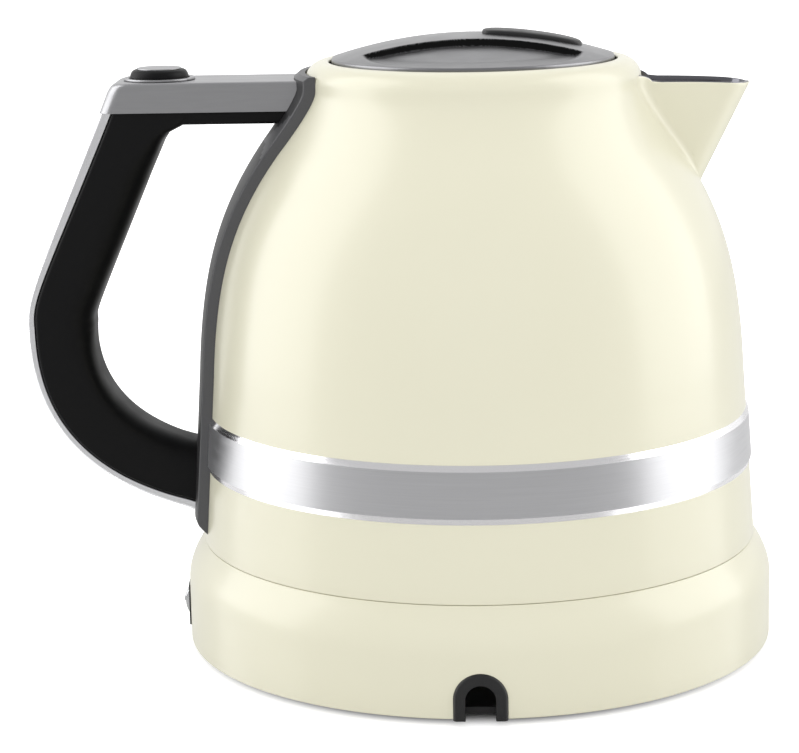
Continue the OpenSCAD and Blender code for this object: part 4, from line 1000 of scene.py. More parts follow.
def height_field(name, rows, columns, point, material):
    """A round sheet of rows of points, where point(u, turn) gives a place, with its true normals kept."""
    points = [point(0.0, 0.0)]
    for i in range(1, rows + 1):
        for j in range(columns):
            points.append(point(i / rows, math.tau * j / columns))
    faces = [(0, 1 + j, 1 + (j + 1) % columns) for j in range(columns)]
    for i in range(rows - 1):
        for j in range(columns):
            k = (j + 1) % columns
            a, b = 1 + i * columns, 1 + (i + 1) * columns
            faces.append((a + j, b + j, b + k, a + k))
    mesh = mesh_of(name, points, faces)
    mesh.materials.append(material)
    mesh.shade_smooth()
    step = 0.25 / rows
    rays = [Vector((0, 0, 1))]
    for i in range(1, rows + 1):
        for j in range(columns):
            u, turn = i / rows, math.tau * j / columns
            across = point(min(u + step, 1), turn) - point(u - step, turn)
            around = point(u, turn + 0.003) - point(u, turn - 0.003)
            rays.append(across.cross(around).normalized())
    mesh.normals_split_custom_set_from_vertices(rays)
    return new_object(name, mesh)


def joined(name, *pieces):
    """One piece from several, with each piece's own materials and normals."""
    with bpy.context.temp_override(active_object=pieces[0], selected_editable_objects=list(pieces)):
        bpy.ops.object.join()
    pieces[0].name = name
    pieces[0].data.name = name
    return pieces[0]


def rounded_ring(outer, inner, half_width, outer_round, inner_round, steps=8):
    """A section of the grip: a rounded block between an outer and an inner point of its side view."""
    middle = (outer + inner) / 2
    arm = (outer - inner) / 2
    deep = arm.length
    arm.normalize()
    outer_round = min(outer_round, deep, half_width)
    inner_round = min(inner_round, deep, half_width)
    corners = []
    for radius, u, start in ((outer_round, deep - outer_round, 0), (inner_round, inner_round - deep, 90)):
        corners += arc((u, half_width - radius), radius, start, start + 90, steps)
    corners += mirrored(corners)
    return [Vector((middle.x + arm.x * p.x, p.y, middle.y + arm.y * p.x)) for p in corners]


def grip_edges():
    """The grip's outer and inner edges in its side view, from the arm down to the bracket's foot."""
    sizes = bpy.context.scene.kettle_handle
    top = ARM_LOW.z - 0.1 * MM
    middle = 120.45 * MM
    foot_x = SHELL_LOW.x - 3.4 * MM
    back = SPINE_LOW.x
    slope = Vector((-0.4, -0.92)).normalized()
    outer_top = Vector((ARM_LOW.x - 0.8 * MM, top))
    outer_mid = Vector((back, middle))
    outer_foot = Vector((foot_x, SHELL_LOW.z + 10.5 * MM))
    inner_top = Vector((ARM_LOW.x + 26 * MM, top))
    inner_mid = Vector((back + sizes.grip, middle))
    inner_foot = Vector((foot_x + 3.6 * MM, SHELL_LOW.z + 34.4 * MM))

    def edge(start, reach, up, middle, down, pull, foot):
        """Two curves that meet upright at the middle, with their pulls in millimetres."""
        pull_x, pull_y = pull
        foot_pull = foot + Vector((pull_x * MM, pull_y * MM))
        upper = bezier(start, start + reach * MM * slope, middle + Vector((0, up * MM)), middle, 100)
        return upper + bezier(middle, middle - Vector((0, down * MM)), foot_pull, foot, 44)[1:]

    outer = edge(outer_top, 71, 10.8, outer_mid, 58.9, (-4.1, 3.6), outer_foot)
    inner = edge(inner_top, 90, 6, inner_mid, 3.8, (-43.4, 10.8), inner_foot)
    return outer, inner


def arch_block(half, top, bottom, y0, y1):
    """A block with a round top, as a cutter."""
    outline = [Vector((-half, bottom)), Vector((half, bottom))] + arc((0, top - half), half, 0, 180, 40)
    return lofted("cutter", [[Vector((p.x, y, p.y)) for p in outline] for y in (y0, y1)], None)


def open_turned(name, profile, material, segments=180):
    """A wall turned round the Z axis from an open profile, with its highest faces looking down."""
    piece = shaded(spun(name, profile, material, segments))
    with editing(piece) as form:
        bmesh.ops.recalc_face_normals(form, faces=form.faces)
        middle = max(form.faces, key=lambda face: face.calc_center_median().z)
        if middle.normal.z > 0:
            bmesh.ops.reverse_faces(form, faces=form.faces)
    return piece


def dial_frame():
    """The thermometer's own frame: z out of the dial, x across it."""
    place_now = Vector(NEEDLE["pos_m"])
    out = Vector(NEEDLE["axis"]).normalized()
    if out.y < 0:
        out = -out
    across = Vector((-1, 0, 0))
    up = out.cross(across)
    turn = Matrix((across, up, out)).transposed().to_4x4()
    return Matrix.Translation(place_now) @ turn


def dial_cutter(radius):
    """A cylinder through the jug's wall at the thermometer."""
    cutter = rod((0, 0), radius, -12 * MM, 28 * MM)
    cutter.data.transform(dial_frame())
    return cutter


def lofted_from_plan(wall, inset, top):
    """The spout's inner form below a height, as a cutter for the hole that the water pours through."""
    bottom = spout_levels()[1] + 7 * MM
    rings = []
    for i in range(13):
        height = bottom + (top - bottom) * i / 12
        plan = [p - inset * ray for p, ray in spout_plan(wall, height)[0][BLEND_STEPS + 1:]]
        half = [Vector((p.x, max(p.y, 0.05 * MM))) for p in plan]
        half.insert(0, half[0] + Vector((-14 * MM, 1 * MM)))
        rings.append(raised(half + mirrored(half), height))
    return lofted("cutter", rings, None)


# --- The dressing, one operator for each group of pieces ---------------------


class KettleMaterials(bpy.types.Operator):
    """Make the kettle's finishes and the geometry trees"""
    bl_idname = "kettle.materials"
    bl_label = "Finishes"

    def execute(self, context):
        for key, values in FINISHES.items():
            MATERIALS[key] = finish(**values)
        TREES["turned"] = turned_tree()
        TREES["ring"] = ring_tree()
        TREES["coil"] = coil_tree()
        return {"FINISHED"}


class KettleBase(bpy.types.Operator):
    """Make the power base: its enamelled housing, deck, underside, outlet, switch and slider"""
    bl_idname = "kettle.base"
    bl_label = "Power base"

    def execute(self, context):
        sizes = context.scene.kettle_base
        rim, foot, low, top = BASE_HIGH.x, SHELL_HIGH.x, BASE_LOW.z, BASE_HIGH.z
        edge = 0.5 * MM
        neck_z = top - 0.1 * MM
        flare = bezier(
            (rim, sizes.skirt_height + 1 * MM), (rim, sizes.skirt_height + 8 * MM),
            (foot + 1.9 * MM, neck_z - 3.2 * MM), (foot, neck_z), 28
        )
        side = [Vector((rim, low + 8 * MM))] + flare
        lip = foot - 5.2 * MM
        profile = arc((rim - edge, low + edge), edge, -90, 0, 8) + side
        profile += arc((foot - 0.2 * MM, top), 0.2 * MM, 0, 90, 3)
        profile += arc((lip + 0.5 * MM, top - 0.3 * MM), 0.5 * MM, 90, 180, 4)
        profile += vectors((lip, top - 2 * MM), (foot - sizes.wall, top - 2 * MM))
        inner = [p for p in offset(side, -sizes.wall) if p.y < top - 2.1 * MM]
        profile += list(reversed(inner)) + [Vector((rim - sizes.wall, low))]
        housing = turned("base_housing_wall", profile, MATERIALS["enamel"], segments=256)
        track_low, track_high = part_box("slider_track")
        room = 0.1 * MM
        middle, past = (track_low.z + track_high.z) / 2, rim + 2 * MM
        recess = outlined(rim - 1.2 * MM, past, track_low.z - room, track_high.z + room)
        half_slot, half_switch = 1.7 * MM, 6.4 * MM
        slot = outlined(rim - 6 * MM, past, middle - half_slot, middle + half_slot)
        switch_hole = block(-rim - 1 * MM, -rim + 8 * MM, -half_switch, half_switch, 6.2 * MM, 21.8 * MM)
        cut(
            housing,
            arch_block(sizes.arch_width / 2, sizes.arch_height, low - 2 * MM, -rim - 2 * MM, -rim + 12 * MM),
            switch_hole,
            turned("cutter", recess, None, segments=60, sweep=68, start=56),
            turned("cutter", slot, None, segments=60, sweep=52, start=64),
        )
        place(shaded(housing, 30), "base", "cream_enamel", "base_housing")
        dress_all(
            ("base_deck", "moulding", 0.4), ("base_pan", "moulding", 0.4), ("rubber_feet", "rubber", 0.4)
        )
        self.grommet(sizes)
        dress_all(
            ("connector_socket", "moulding", 0.4), ("switch_bezel", "moulding", 0.25),
            ("power_lever", "chrome", 0.5), ("slider_track", "moulding", 0.12),
            ("slider_knob", "chrome", 0.4), ("connector_plug", "moulding", 0.4),
            ("terminal_block", "ivory", 0.3),
        )
        painted("steel", "pan_screws")
        painted("brass", "socket_contacts", "plug_contacts")
        painted("wire", "mains_wires")
        painted("board", "control_board", "slider_sensor")
        painted("moulding", "board_components", "power_switch")
        return {"FINISHED"}

    def grommet(self, sizes):
        """The grommet in the cord's outlet: an arch on two legs, with a bevelled outer edge."""
        front, back = GROMMET_LOW.y, GROMMET_HIGH.y
        outer, wall = sizes.arch_width / 2 - 0.05 * MM, sizes.grommet_wall
        middle = sizes.arch_height - 0.05 * MM - outer
        bevel = 1.1 * MM
        # From the outer side over the bevelled edge to the inner side.
        section = vectors(
            (0, back), (0, front + bevel), (0.3 * bevel, front + 0.35 * bevel), (bevel, front),
            (wall - 0.4 * MM, front), (wall - 0.1 * MM, front + 0.1 * MM), (wall, front + 0.4 * MM),
            (wall, back),
        )
        low = GROMMET_LOW.z + 0.3 * MM
        right_leg, left_leg = [
            [[Vector((side * (outer - p.x), p.y, z)) for p in section] for z in heights]
            for side, heights in ((1, (low, middle / 2)), (-1, (middle / 2, low)))
        ]
        crown = []
        for turn in range(0, 181, 5):
            ray = Vector((math.cos(math.radians(turn)), 0, math.sin(math.radians(turn))))
            crown.append([ray * (outer - p.x) + Vector((0, p.y, middle)) for p in section])
        rings = right_leg + crown + left_leg
        piece = shaded(lofted("grommet_arch", rings, MATERIALS["grommet"]), 40)
        stand_for(piece, "cord_grommet")


class KettleJug(bpy.types.Operator):
    """Make the jug: its enamelled wall with the rolled rim, vessel, underside and trim band"""
    bl_idname = "kettle.jug"
    bl_label = "Jug"

    def execute(self, context):
        jug = context.scene.kettle_jug
        wall = jug_wall()
        sheet_t = jug.sheet
        top, foot, low = SHELL_HIGH.z, SHELL_HIGH.x, SHELL_LOW.z
        roll_z = top - jug.roll_radius
        roll_x = jug.neck_radius - jug.roll_radius
        lip_x = LID_HIGH.x + 1 * MM + sheet_t / 2
        outer = arc((foot - jug.edge, low + jug.edge), jug.edge, -90, 0, 6)
        outer += [p for p in wall if p.y > low + jug.edge + 1 * MM]
        outer += arc((roll_x, roll_z), jug.roll_radius, 0, 90, 20)[1:]
        outer += arc((lip_x, top - sheet_t / 2), sheet_t / 2, 90, 270, 10)
        inner = arc((roll_x, roll_z), jug.roll_radius - sheet_t, 90, 0, 12)
        inner += [p for p in reversed(offset(wall, -sheet_t)) if low + 1 * MM < p.y < roll_z - 0.1 * MM]
        profile = outer + inner + [Vector((foot - sheet_t, low + 0.2 * MM))]
        shell = turned("jug_wall", profile, MATERIALS["enamel"], segments=288)
        pour = lofted_from_plan(wall, inset=1.7 * MM, top=195 * MM)
        dial = dial_cutter(radius=20.3 * MM)
        half, room = 7 * MM, 2 * MM
        window = block(OUTSIDE, -73 * MM, -half, half, WINDOW_LOW.z - room, WINDOW_HIGH.z + room)
        cut(shell, slider_slot(), window, pour, dial)
        place(shaded(shell, 30), "kettle", "cream_enamel", "outer_shell")
        dress_all(
            ("inner_vessel", "vessel", 0.3), ("bottom_cover", "moulding", 0.4),
            ("level_window", "window", 0.3), ("filter_frame", "ivory", 0.25),
        )
        painted("aluminium", "heater_plate")
        painted("steel", "heating_element", "bottom_screws")
        painted("moulding", "kettle_control")
        proud = BAND_HIGH.y - radius_at(wall, BAND_LOW.z + jug.band_bevel) - 0.02 * MM
        proud = max(min(proud, 1.2 * MM), 0.6 * MM)
        side = trimmed(wall, BAND_LOW.z, BAND_HIGH.z)
        faces = trimmed(wall, BAND_LOW.z + jug.band_bevel, BAND_HIGH.z - jug.band_bevel)
        band = [side[0] + Vector((0.12 * MM, 0))] + [p + Vector((proud, 0)) for p in faces]
        band += [side[-1] + Vector((0.12 * MM, 0))] + [p - Vector((0.3 * MM, 0)) for p in reversed(side)]
        gap = math.degrees(math.asin((BRACKET_HIGH.y + 0.1 * MM) / (foot + proud)))
        strip = turned(
            "trim_band_ring", band, MATERIALS["band"], segments=300, sweep=360 - 2 * gap, start=180 + gap,
            sharp=10
        )
        repainted(strip, "band", "edge")
        for face in strip.data.polygons:
            bevelled = not BAND_LOW.z + jug.band_bevel < face.center.z < BAND_HIGH.z - jug.band_bevel
            face.material_index = int(bevelled)
        place(strip, "kettle", "brushed_steel", "trim_band")
        return {"FINISHED"}


class KettleSpout(bpy.types.Operator):
    """Make the enamelled spout, blended into the jug, and its steel liner"""
    bl_idname = "kettle.spout"
    bl_label = "Spout"

    def execute(self, context):
        sizes = context.scene.kettle_spout
        wall = jug_wall()
        beak = sheet("spout_beak", spout_rows(wall, 0, sizes.sheet, 0, sizes.lobe), MATERIALS["enamel"])
        place(beak, "kettle", "cream_enamel", "spout")
        rows = spout_rows(wall, sizes.sheet + 0.03 * MM, sizes.sheet + 0.9 * MM, -0.3 * MM, sizes.lobe)
        channel = sheet("spout_channel_liner", rows, MATERIALS["spout"])
        place(channel, "kettle", "polished_steel", "spout_liner")
        return {"FINISHED"}


class KettleHandle(bpy.types.Operator):
    """Make the handle: bracket, arm, liner, grip, spine and the release button"""
    bl_idname = "kettle.handle"
    bl_label = "Handle"

    def execute(self, context):
        sizes = context.scene.kettle_handle
        self.bracket(sizes)
        self.arm(sizes)
        self.grip(sizes)
        self.button()
        dress_all(
            ("button_cap", "arm", 0.15), ("button_collar", "arm", 0.3), ("release_slider", "grey", 0.25)
        )
        painted("steel", "handle_screws")
        low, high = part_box("button_springs")
        room, coils = 0.35 * MM, []
        for y in (-8.6, 8.6):
            spring = coil("button_coil", 4.0, 1.5 * MM, high.z - low.z - 2 * room, 0.3 * MM)
            spring.data.transform(Matrix.Translation(((low.x + high.x) / 2, y * MM, low.z + room)))
            coils.append(spring)
        springs = shaded(joined("button_coils", *coils), 60)
        place(springs, "kettle", "steel", "button_springs")
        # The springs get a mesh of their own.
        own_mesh(springs)
        return {"FINISHED"}

    def button(self):
        """The release button: a round key with a bulging flank, over a plunger with a slanted foot."""
        x, radius, top = BUTTON_X, BUTTON_HIGH.y, BUTTON_HIGH.z
        low, foot = ARM_HIGH.z - 2 * MM, ROD_LOW.z + 1.6 * MM
        profile = vectors((0, low), (radius - 0.4 * MM, low), (radius, low + 0.4 * MM))
        profile += bezier(
            (radius, top - 2.8 * MM), (radius, top - 1.5 * MM),
            (radius - 0.6 * MM, top - 0.2 * MM), (radius - 2 * MM, top), 16,
        )
        key = turned("button_key", profile + [Vector((0, top))], MATERIALS["grip"])
        key.data.transform(Matrix.Translation((x, 0, 0)))
        plunger = rod((x, 0), 2.9 * MM, BUTTON_LOW.z, low + 0.5 * MM, 48)
        # What lies under a line at 45 degrees, in millimetres from the foot's middle.
        slant = ((-8, 8), (8, -8), (-8, -8))
        wedge = lofted("cutter", [
            [Vector((x + dx * MM, y * MM, foot + dz * MM)) for dx, dz in slant] for y in (-5, 5)
        ], None)
        cut(plunger, wedge)
        repainted(plunger, "grip")
        piece = joined("button_moulding", key, shaded(plunger))
        stand_for(piece, "release_button")

    def bracket(self, sizes):
        """The bracket: a plate along the jug's back wall, which thins towards its foot."""
        wall = jug_wall()
        back = offset(wall, sizes.bracket)
        half = BRACKET_HIGH.y
        low, top = BRACKET_LOW.z + 3.6 * MM, BRACKET_HIGH.z
        corner, top_round, foot_run, levels = 0.5 * MM, 1.8 * MM, 5 * MM, 110
        rings = []
        for i in range(levels + 1):
            height = low + (top - low) * i / levels
            radius = radius_at(wall, height) + 0.05 * MM
            thick = max(radius_at(back, height) - radius, sizes.bracket)
            down, up = height - low, top - height
            if up < top_round:
                thick -= top_round - leg(top_round, top_round - up)
            if down < foot_run:
                thick *= 0.05 + 0.95 * math.sin(math.pi / 2 * down / foot_run)
            bend = min(corner, thick * 0.9)
            section = arc((half - bend, thick - bend), bend, 0, 90, 6)
            section += line((half - bend, thick), (bend - half, thick), 40)[1:-1]
            section += arc((bend - half, thick - bend), bend, 90, 180, 6)
            section += line((-half, 0), (half, 0), 40)
            rings.append([Vector((-leg(radius + p.y, p.x), p.x, height)) for p in section])
        plate = lofted("bracket_plate", rings, MATERIALS["bracket"])
        room = 0.15 * MM
        cut(
            plate,
            block(-115 * MM, -60 * MM, WINDOW_LOW.y - room, WINDOW_HIGH.y + room,
                  WINDOW_LOW.z - room, WINDOW_HIGH.z + room),
            slider_slot(),
        )
        # The face towards the grip takes the black moulding, as painted shade along the bracket's outer edge.
        plate.data.materials.append(MATERIALS["moulding"])
        for face in plate.data.polygons:
            face.material_index = int(face.normal.x < -0.8)
        place(shaded(plate, 32), "kettle", "grey_plastic", "handle_bracket")

    def arm(self, sizes):
        """The arm: a hollow bar from the bracket to a slanted end, with a bore for the button."""
        back = offset(jug_wall(), sizes.bracket + 0.1 * MM)
        half, low, top = sizes.width / 2, ARM_LOW.z, ARM_HIGH.z
        slant = 0.42
        rings = []
        heights = [low + (top - sizes.arm_edge - low) * i / 16 for i in range(17)]
        heights += [top - sizes.arm_edge * (1 - math.sin(math.radians(a))) for a in range(10, 91, 10)]
        for height in heights:
            past = height - (top - sizes.arm_edge)
            inset = sizes.arm_edge - leg(sizes.arm_edge, past) if past > 0 else 0
            # The upper 4 mm lean back on a curve, into the rounded edge.
            lean = max(height - top + 4 * MM, 0) ** 2 / (16 * MM)
            tip = ARM_LOW.x - 0.7 * MM + (height - low) * slant + 1.3 * inset + lean
            wide = half - inset
            corner = max(sizes.arm_corner - inset * 0.6, 0.5 * MM)
            root = radius_at(back, height)
            outline = arc((tip + corner, wide - corner), corner, 90, 180, 12)
            outline += arc((tip + corner, corner - wide), corner, 180, 270, 12)
            outline += [Vector((-leg(root, wide * i / 10), wide * i / 10)) for i in range(-10, 11)]
            rings.append(raised(outline, height))
        arm = lofted("arm_cover", rings, MATERIALS["arm"])
        bore, side = BUTTON_HIGH.y + 0.35 * MM, 2.6 * MM
        hollow = block(
            ARM_LOW.x + 9 * MM, -SHELL_HIGH.x * 0.68, side - half, half - side, low - 1 * MM, top - 2.4 * MM
        )
        cut(arm, hollow, rod((BUTTON_X, 0), bore, low - 1 * MM, top + 2 * MM))
        place(shaded(arm, 32), "kettle", "satin_cast_metal", "handle_arm")

    def grip(self, sizes):
        """The grip and its spine, ring by ring from the arm down, with a fillet under the liner."""
        outer, inner = grip_edges()
        liner_low = LINER_LOW.z
        grips, spines = [], []
        for i, (a, b) in enumerate(zip(outer, inner)):
            below = liner_low - b.y
            b = b.copy()
            if below < sizes.fillet:
                lean = sizes.fillet - max(below, 0)
                b.x += sizes.fillet - leg(sizes.fillet, lean)
            share = i / (len(outer) - 1)
            # The spine is thickest at the arm and thinnest about halfway down.
            spine = sizes.spine * (1.2 - 0.35 * math.sin(math.pi * min(share * 1.1, 1)) - 0.3 * share)
            face = a + spine * (b - a).normalized()
            # Over 20 mm below the liner the grip gets wider and its inner edges rounder.
            near = clamped(below / (20 * MM))
            half = (14.0 + 0.6 * near) * MM
            grips.append(rounded_ring(face, b, half, 1.6 * MM, 3 * MM + 8 * MM * near))
            seam = face - 0.05 * MM * (b - a).normalized()
            spines.append(rounded_ring(a, seam, half - 0.7 * MM, 3.2 * MM, 0.5 * MM))
        # Both run on a little way towards the jug.
        for rings in (grips, spines):
            rings.append([p + Vector((3.5 * MM, 0, -0.6 * MM)) for p in rings[-1]])
        grip = shaded(lofted("grip_moulding", grips, MATERIALS["grip"]), 60)
        place(grip, "kettle", "black_grip", "grip")
        spine = shaded(lofted("spine_cover", spines, MATERIALS["spine"]), 60)
        place(spine, "kettle", "silver_trim", "grip_spine")
        self.liner()

    def liner(self):
        """The black liner under the arm: a long moulding with rounded lower edges, grown into the grip."""
        low, high, half = LINER_LOW.z, LINER_HIGH.z, LINER_HIGH.y - 0.25 * MM
        bend = 1.6 * MM
        section = vectors((-half, high), (half, high))
        section += arc((half - bend, low + bend), bend, 0, -90, 6)
        section += arc((bend - half, low + bend), bend, -90, -180, 6)
        path = line((ARM_LOW.x + 12 * MM, 0), (LINER_HIGH.x + 1.5 * MM, 0), 12)
        rings = [[Vector((p.x, q.x, q.y)) for q in section] for p in path]
        piece = shaded(lofted("arm_liner_moulding", rings, MATERIALS["grip"]), 40)
        stand_for(piece, "arm_liner")


class KettleLid(bpy.types.Operator):
    """Make the lid: its pressed cover with two finger recesses, the pad, the plug, the seal and the hinge"""
    bl_idname = "kettle.lid"
    bl_label = "Lid"

    def execute(self, context):
        sizes = context.scene.kettle_lid
        radius = LID_HIGH.x
        base_z = LID_LOW.z + sizes.skirt
        edge_r = radius - LID_ROLL
        # Shares of the way from the middle to the lower rim: the top, and within the rest, the roll.
        flat, rest, rolled = 0.93, 0.07, 0.6

        def top(u, turn):
            c, s = math.cos(turn), math.sin(turn)
            if u < flat:
                r = edge_r * (u / flat)
                return Vector((r * c, r * s, base_z + lid_height(r * c, r * s)))
            share = (u - flat) / rest
            if share < rolled:
                angle = math.pi / 2 * share / rolled
                r = edge_r + LID_ROLL * math.sin(angle)
                return Vector((r * c, r * s, base_z - LID_ROLL * (1 - math.cos(angle))))
            drop = (base_z - LID_ROLL - LID_LOW.z) * (share - rolled) / (1 - rolled)
            return Vector((radius * c, radius * s, base_z - LID_ROLL - drop))

        skin = height_field("lid_skin", 150, 600, top, MATERIALS["lid"])
        inner_r = radius - sizes.cover
        profile = vectors((radius - 0.02 * MM, LID_LOW.z), (inner_r, LID_LOW.z), (inner_r, base_z - 2 * MM))
        crown = LID_HIGH.z - base_z - sizes.recess_depth - 0.9 * MM
        count = 24
        for i in range(count + 1):
            r = inner_r * (1 - i / count)
            profile.append(Vector((r, base_z - 1.9 * MM + crown * (1 - (r / inner_r) ** 2))))
        underside = open_turned("lid_underside", profile, MATERIALS["lid"])
        # Where the recess falls steeply its wall gets painted shade: nought at a slope of 0.35, full at 0.65.
        steep = skin.data.attributes.new("steep", "FLOAT", "POINT")
        step = 0.1 * MM
        for vertex in skin.data.vertices:
            x, y = vertex.co.x, vertex.co.y
            sunk = lid_height(x, y, False) - lid_height(x, y)
            rise_x = (lid_height(x + step, y) - lid_height(x - step, y)) / (2 * step)
            rise_y = (lid_height(x, y + step) - lid_height(x, y - step)) / (2 * step)
            share = (math.hypot(rise_x, rise_y) - 0.35) / 0.3
            steep.data[vertex.index].value = clamped(share) if sunk > 0.02 * MM else 0.0
        cover = joined("lid_cover_pressing", skin, underside)
        place(cover, "lid", "satin_cast_metal", "lid_cover")

        mid_x = (PAD_LOW.x + PAD_HIGH.x) / 2
        half_x = (PAD_HIGH.x - PAD_LOW.x) / 2
        half_y = PAD_HIGH.y
        # How proud the pad stands, the squareness of its outline, and where its edge starts.
        proud, square, brink = 1.8 * MM, 2 / 5, 0.85

        def pad(u, turn):
            c, s = math.cos(turn), math.sin(turn)
            x = half_x * math.copysign(abs(c) ** square, c)
            y = half_y * math.copysign(abs(s) ** square, s)
            y *= 1 - 0.12 * (x / half_x) ** 2
            angle = math.pi / 2 * min(u / brink, 1)
            spread = math.sin(angle) ** (1 / 3)
            lift = proud * math.cos(angle) ** (1 / 2.2) if angle < math.pi / 2 else 0
            sink = 0.6 * MM * max(u - brink, 0) / 0.15
            x, y = mid_x + x * spread, y * spread
            return Vector((x, y, base_z + lid_height(x, y, False) + lift - sink))

        rubber_pad = height_field("grip_pad", 60, 240, pad, MATERIALS["pad"])
        place(rubber_pad, "lid", "black_rubber", "lid_grip_pad")
        dress_all(("lid_inner", "grey", 0.3), ("lid_seal", "silicone", 0.3), ("lid_collar", "grey", 0.3))
        painted("steel", "hinge_pin")
        low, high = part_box("hinge_spring")
        room = 0.35 * MM
        spring = coil("hinge_coil", 6.0, 1.35 * MM, high.y - low.y - 2 * room, 0.4 * MM)
        centre = (Vector(low) + Vector(high)) / 2
        turn = Matrix.Rotation(math.pi / 2, 4, "X")
        spring.data.transform(Matrix.Translation((centre.x, high.y - room, centre.z)) @ turn)
        place(shaded(spring, 60), "kettle", "steel", "hinge_spring")
        return {"FINISHED"}


class KettleThermometer(bpy.types.Operator):
    """Make the thermometer: housing, bezel, lens, needle, and the dial with its marks and plain numbers"""
    bl_idname = "kettle.thermometer"
    bl_label = "Thermometer"

    def execute(self, context):
        dress_all(
            ("thermometer_housing", "moulding", 0.25), ("thermometer_bezel", "chrome", 0.5),
            ("thermometer_dial", "dial", 0.1), ("thermometer_needle", "ink", 0.12),
            ("thermometer_lens", "glass", 0.15),
        )
        where = dial_frame()
        # The dial's face lies 2 mm behind the needle's joint, and the ink a little before it.
        face_z = -2.0 * MM + 0.03 * MM
        marks, outer = [], 16.2
        # Fine marks, then bold ones: their count, their inner radius and their width in millimetres.
        for count, inner, width in ((61, 14.6, 0.25), (13, 13.2, 0.55)):
            half = width / 2 * MM
            stroke = block(inner * MM, outer * MM, -half, half, face_z, face_z + 0.06 * MM)
            values = {
                "Count": count, "Start": math.radians(-30), "Sweep": math.radians(240),
                "Material": MATERIALS["ink"],
            }
            marks.append(made_by(TREES["ring"], "dial_marks", stroke.data.copy(), values))
            discard(stroke)
        scale = joined("dial_marks", *marks)
        scale.data.transform(where)
        place(scale, "kettle", "dark_plastic")
        numbers = []
        for i, value in enumerate(range(0, 121, 20)):
            angle = math.radians(210 - 40 * i)
            curve = bpy.data.curves.new("number", "FONT")
            curve.body = str(value)
            curve.size = 3.4 * MM
            curve.align_x = "CENTER"
            curve.align_y = "CENTER"
            curve.extrude = 0.03 * MM
            text = new_object("number", curve)
            context.view_layer.update()
            mesh = bpy.data.meshes.new_from_object(text)
            bpy.data.objects.remove(text)
            bpy.data.curves.remove(curve)
            reach = 10.6 * MM
            spot = Matrix.Translation((reach * math.cos(angle), reach * math.sin(angle), face_z + 0.03 * MM))
            mesh.transform(where @ spot)
            numbers.append(new_object("number", mesh))
            repainted(numbers[-1], "ink")
        place(joined("dial_numbers", *numbers), "kettle", "dark_plastic")
        return {"FINISHED"}


class KettleFilter(bpy.types.Operator):
    """Give the filter's woven wires their steel"""
    bl_idname = "kettle.filter"
    bl_label = "Filter"

    def execute(self, context):
        painted("steel", "filter_mesh")
        return {"FINISHED"}


# --- Floor, lights and camera ------------------------------------------------

WHITE = (1, 1, 1, 1)
# The floor's glow rises over these distances from the base's middle, each time by the last number: the weaker glow
# round the base is a painted contact shadow.
FLOOR_GLOW_AND_SHADOW = ((0.098, 0.108, 0.62), (0.108, 0.4, 0.23))
# How much of the floor is glossy to rays that come from a glossy surface.
FLOOR_SHEEN = 0.65
# The world's strength goes from the first to the second from the front to the back.
WORLD_STRENGTH = (0.6, 1.05)
AIM = (0, 0, 0.12)
# Name, place, aim and size in metres, and radiance.
LAMPS = (
    ("left_strip", (-0.55, 0.0, 0.42), (0, 0, 0.3), (0.52, 0.84), 2.2),
    ("left_fill", (-1.45, -0.3, 0.6), AIM, (1.5, 1.5), 0.85),
    ("right_strip", (0.55, 0.0, 0.42), (0, 0, 0.3), (0.52, 0.84), 2.2),
    ("right_fill", (1.45, -0.3, 0.6), AIM, (1.5, 1.5), 0.85),
    ("front_fill", (0, -1.6, 0.7), AIM, (1.5, 1.5), 0.8),
    ("top_fill", (0, 0, 1.6), AIM, (1.5, 1.5), 0.8),
)
# The camera's place in millimetres, its dip in degrees and its lens.
CAMERA_PLACE, CAMERA_DIP, LENS = (-0.8, -946.2, 302.3), 12.16, 117.3


def lamp(name, place_now, aim, size, radiance):
    """A soft lamp: a strip shows only in glossy surfaces, and a fill only lights what it shines on."""
    data = bpy.data.lights.new(name, "AREA")
    data.shape = "RECTANGLE"
    data.size, data.size_y = size
    data.energy = radiance * math.pi * size[0] * size[1]
    made = new_object(name, data)
    made.location = place_now
    made.rotation_euler = (Vector(aim) - Vector(place_now)).to_track_quat("-Z", "Y").to_euler()
    made.visible_camera = False
    if name.endswith("strip"):
        made.visible_diffuse = False
    else:
        made.visible_glossy = False


def emptied(owner):
    """The owner's node tree, without nodes."""
    owner.use_nodes = True
    owner.node_tree.nodes.clear()
    return owner.node_tree


def ray_kinds(tree):
    """Whether a ray comes straight or through glass from the camera, and whether from a glossy surface."""
    path = add(tree, "ShaderNodeLightPath").outputs
    straight, through = path["Is Camera Ray"], path["Is Transmission Ray"]
    seen = add(tree, "ShaderNodeMath", {0: straight, 1: through}, operation="MAXIMUM").outputs[0]
    return seen, path["Is Glossy Ray"]


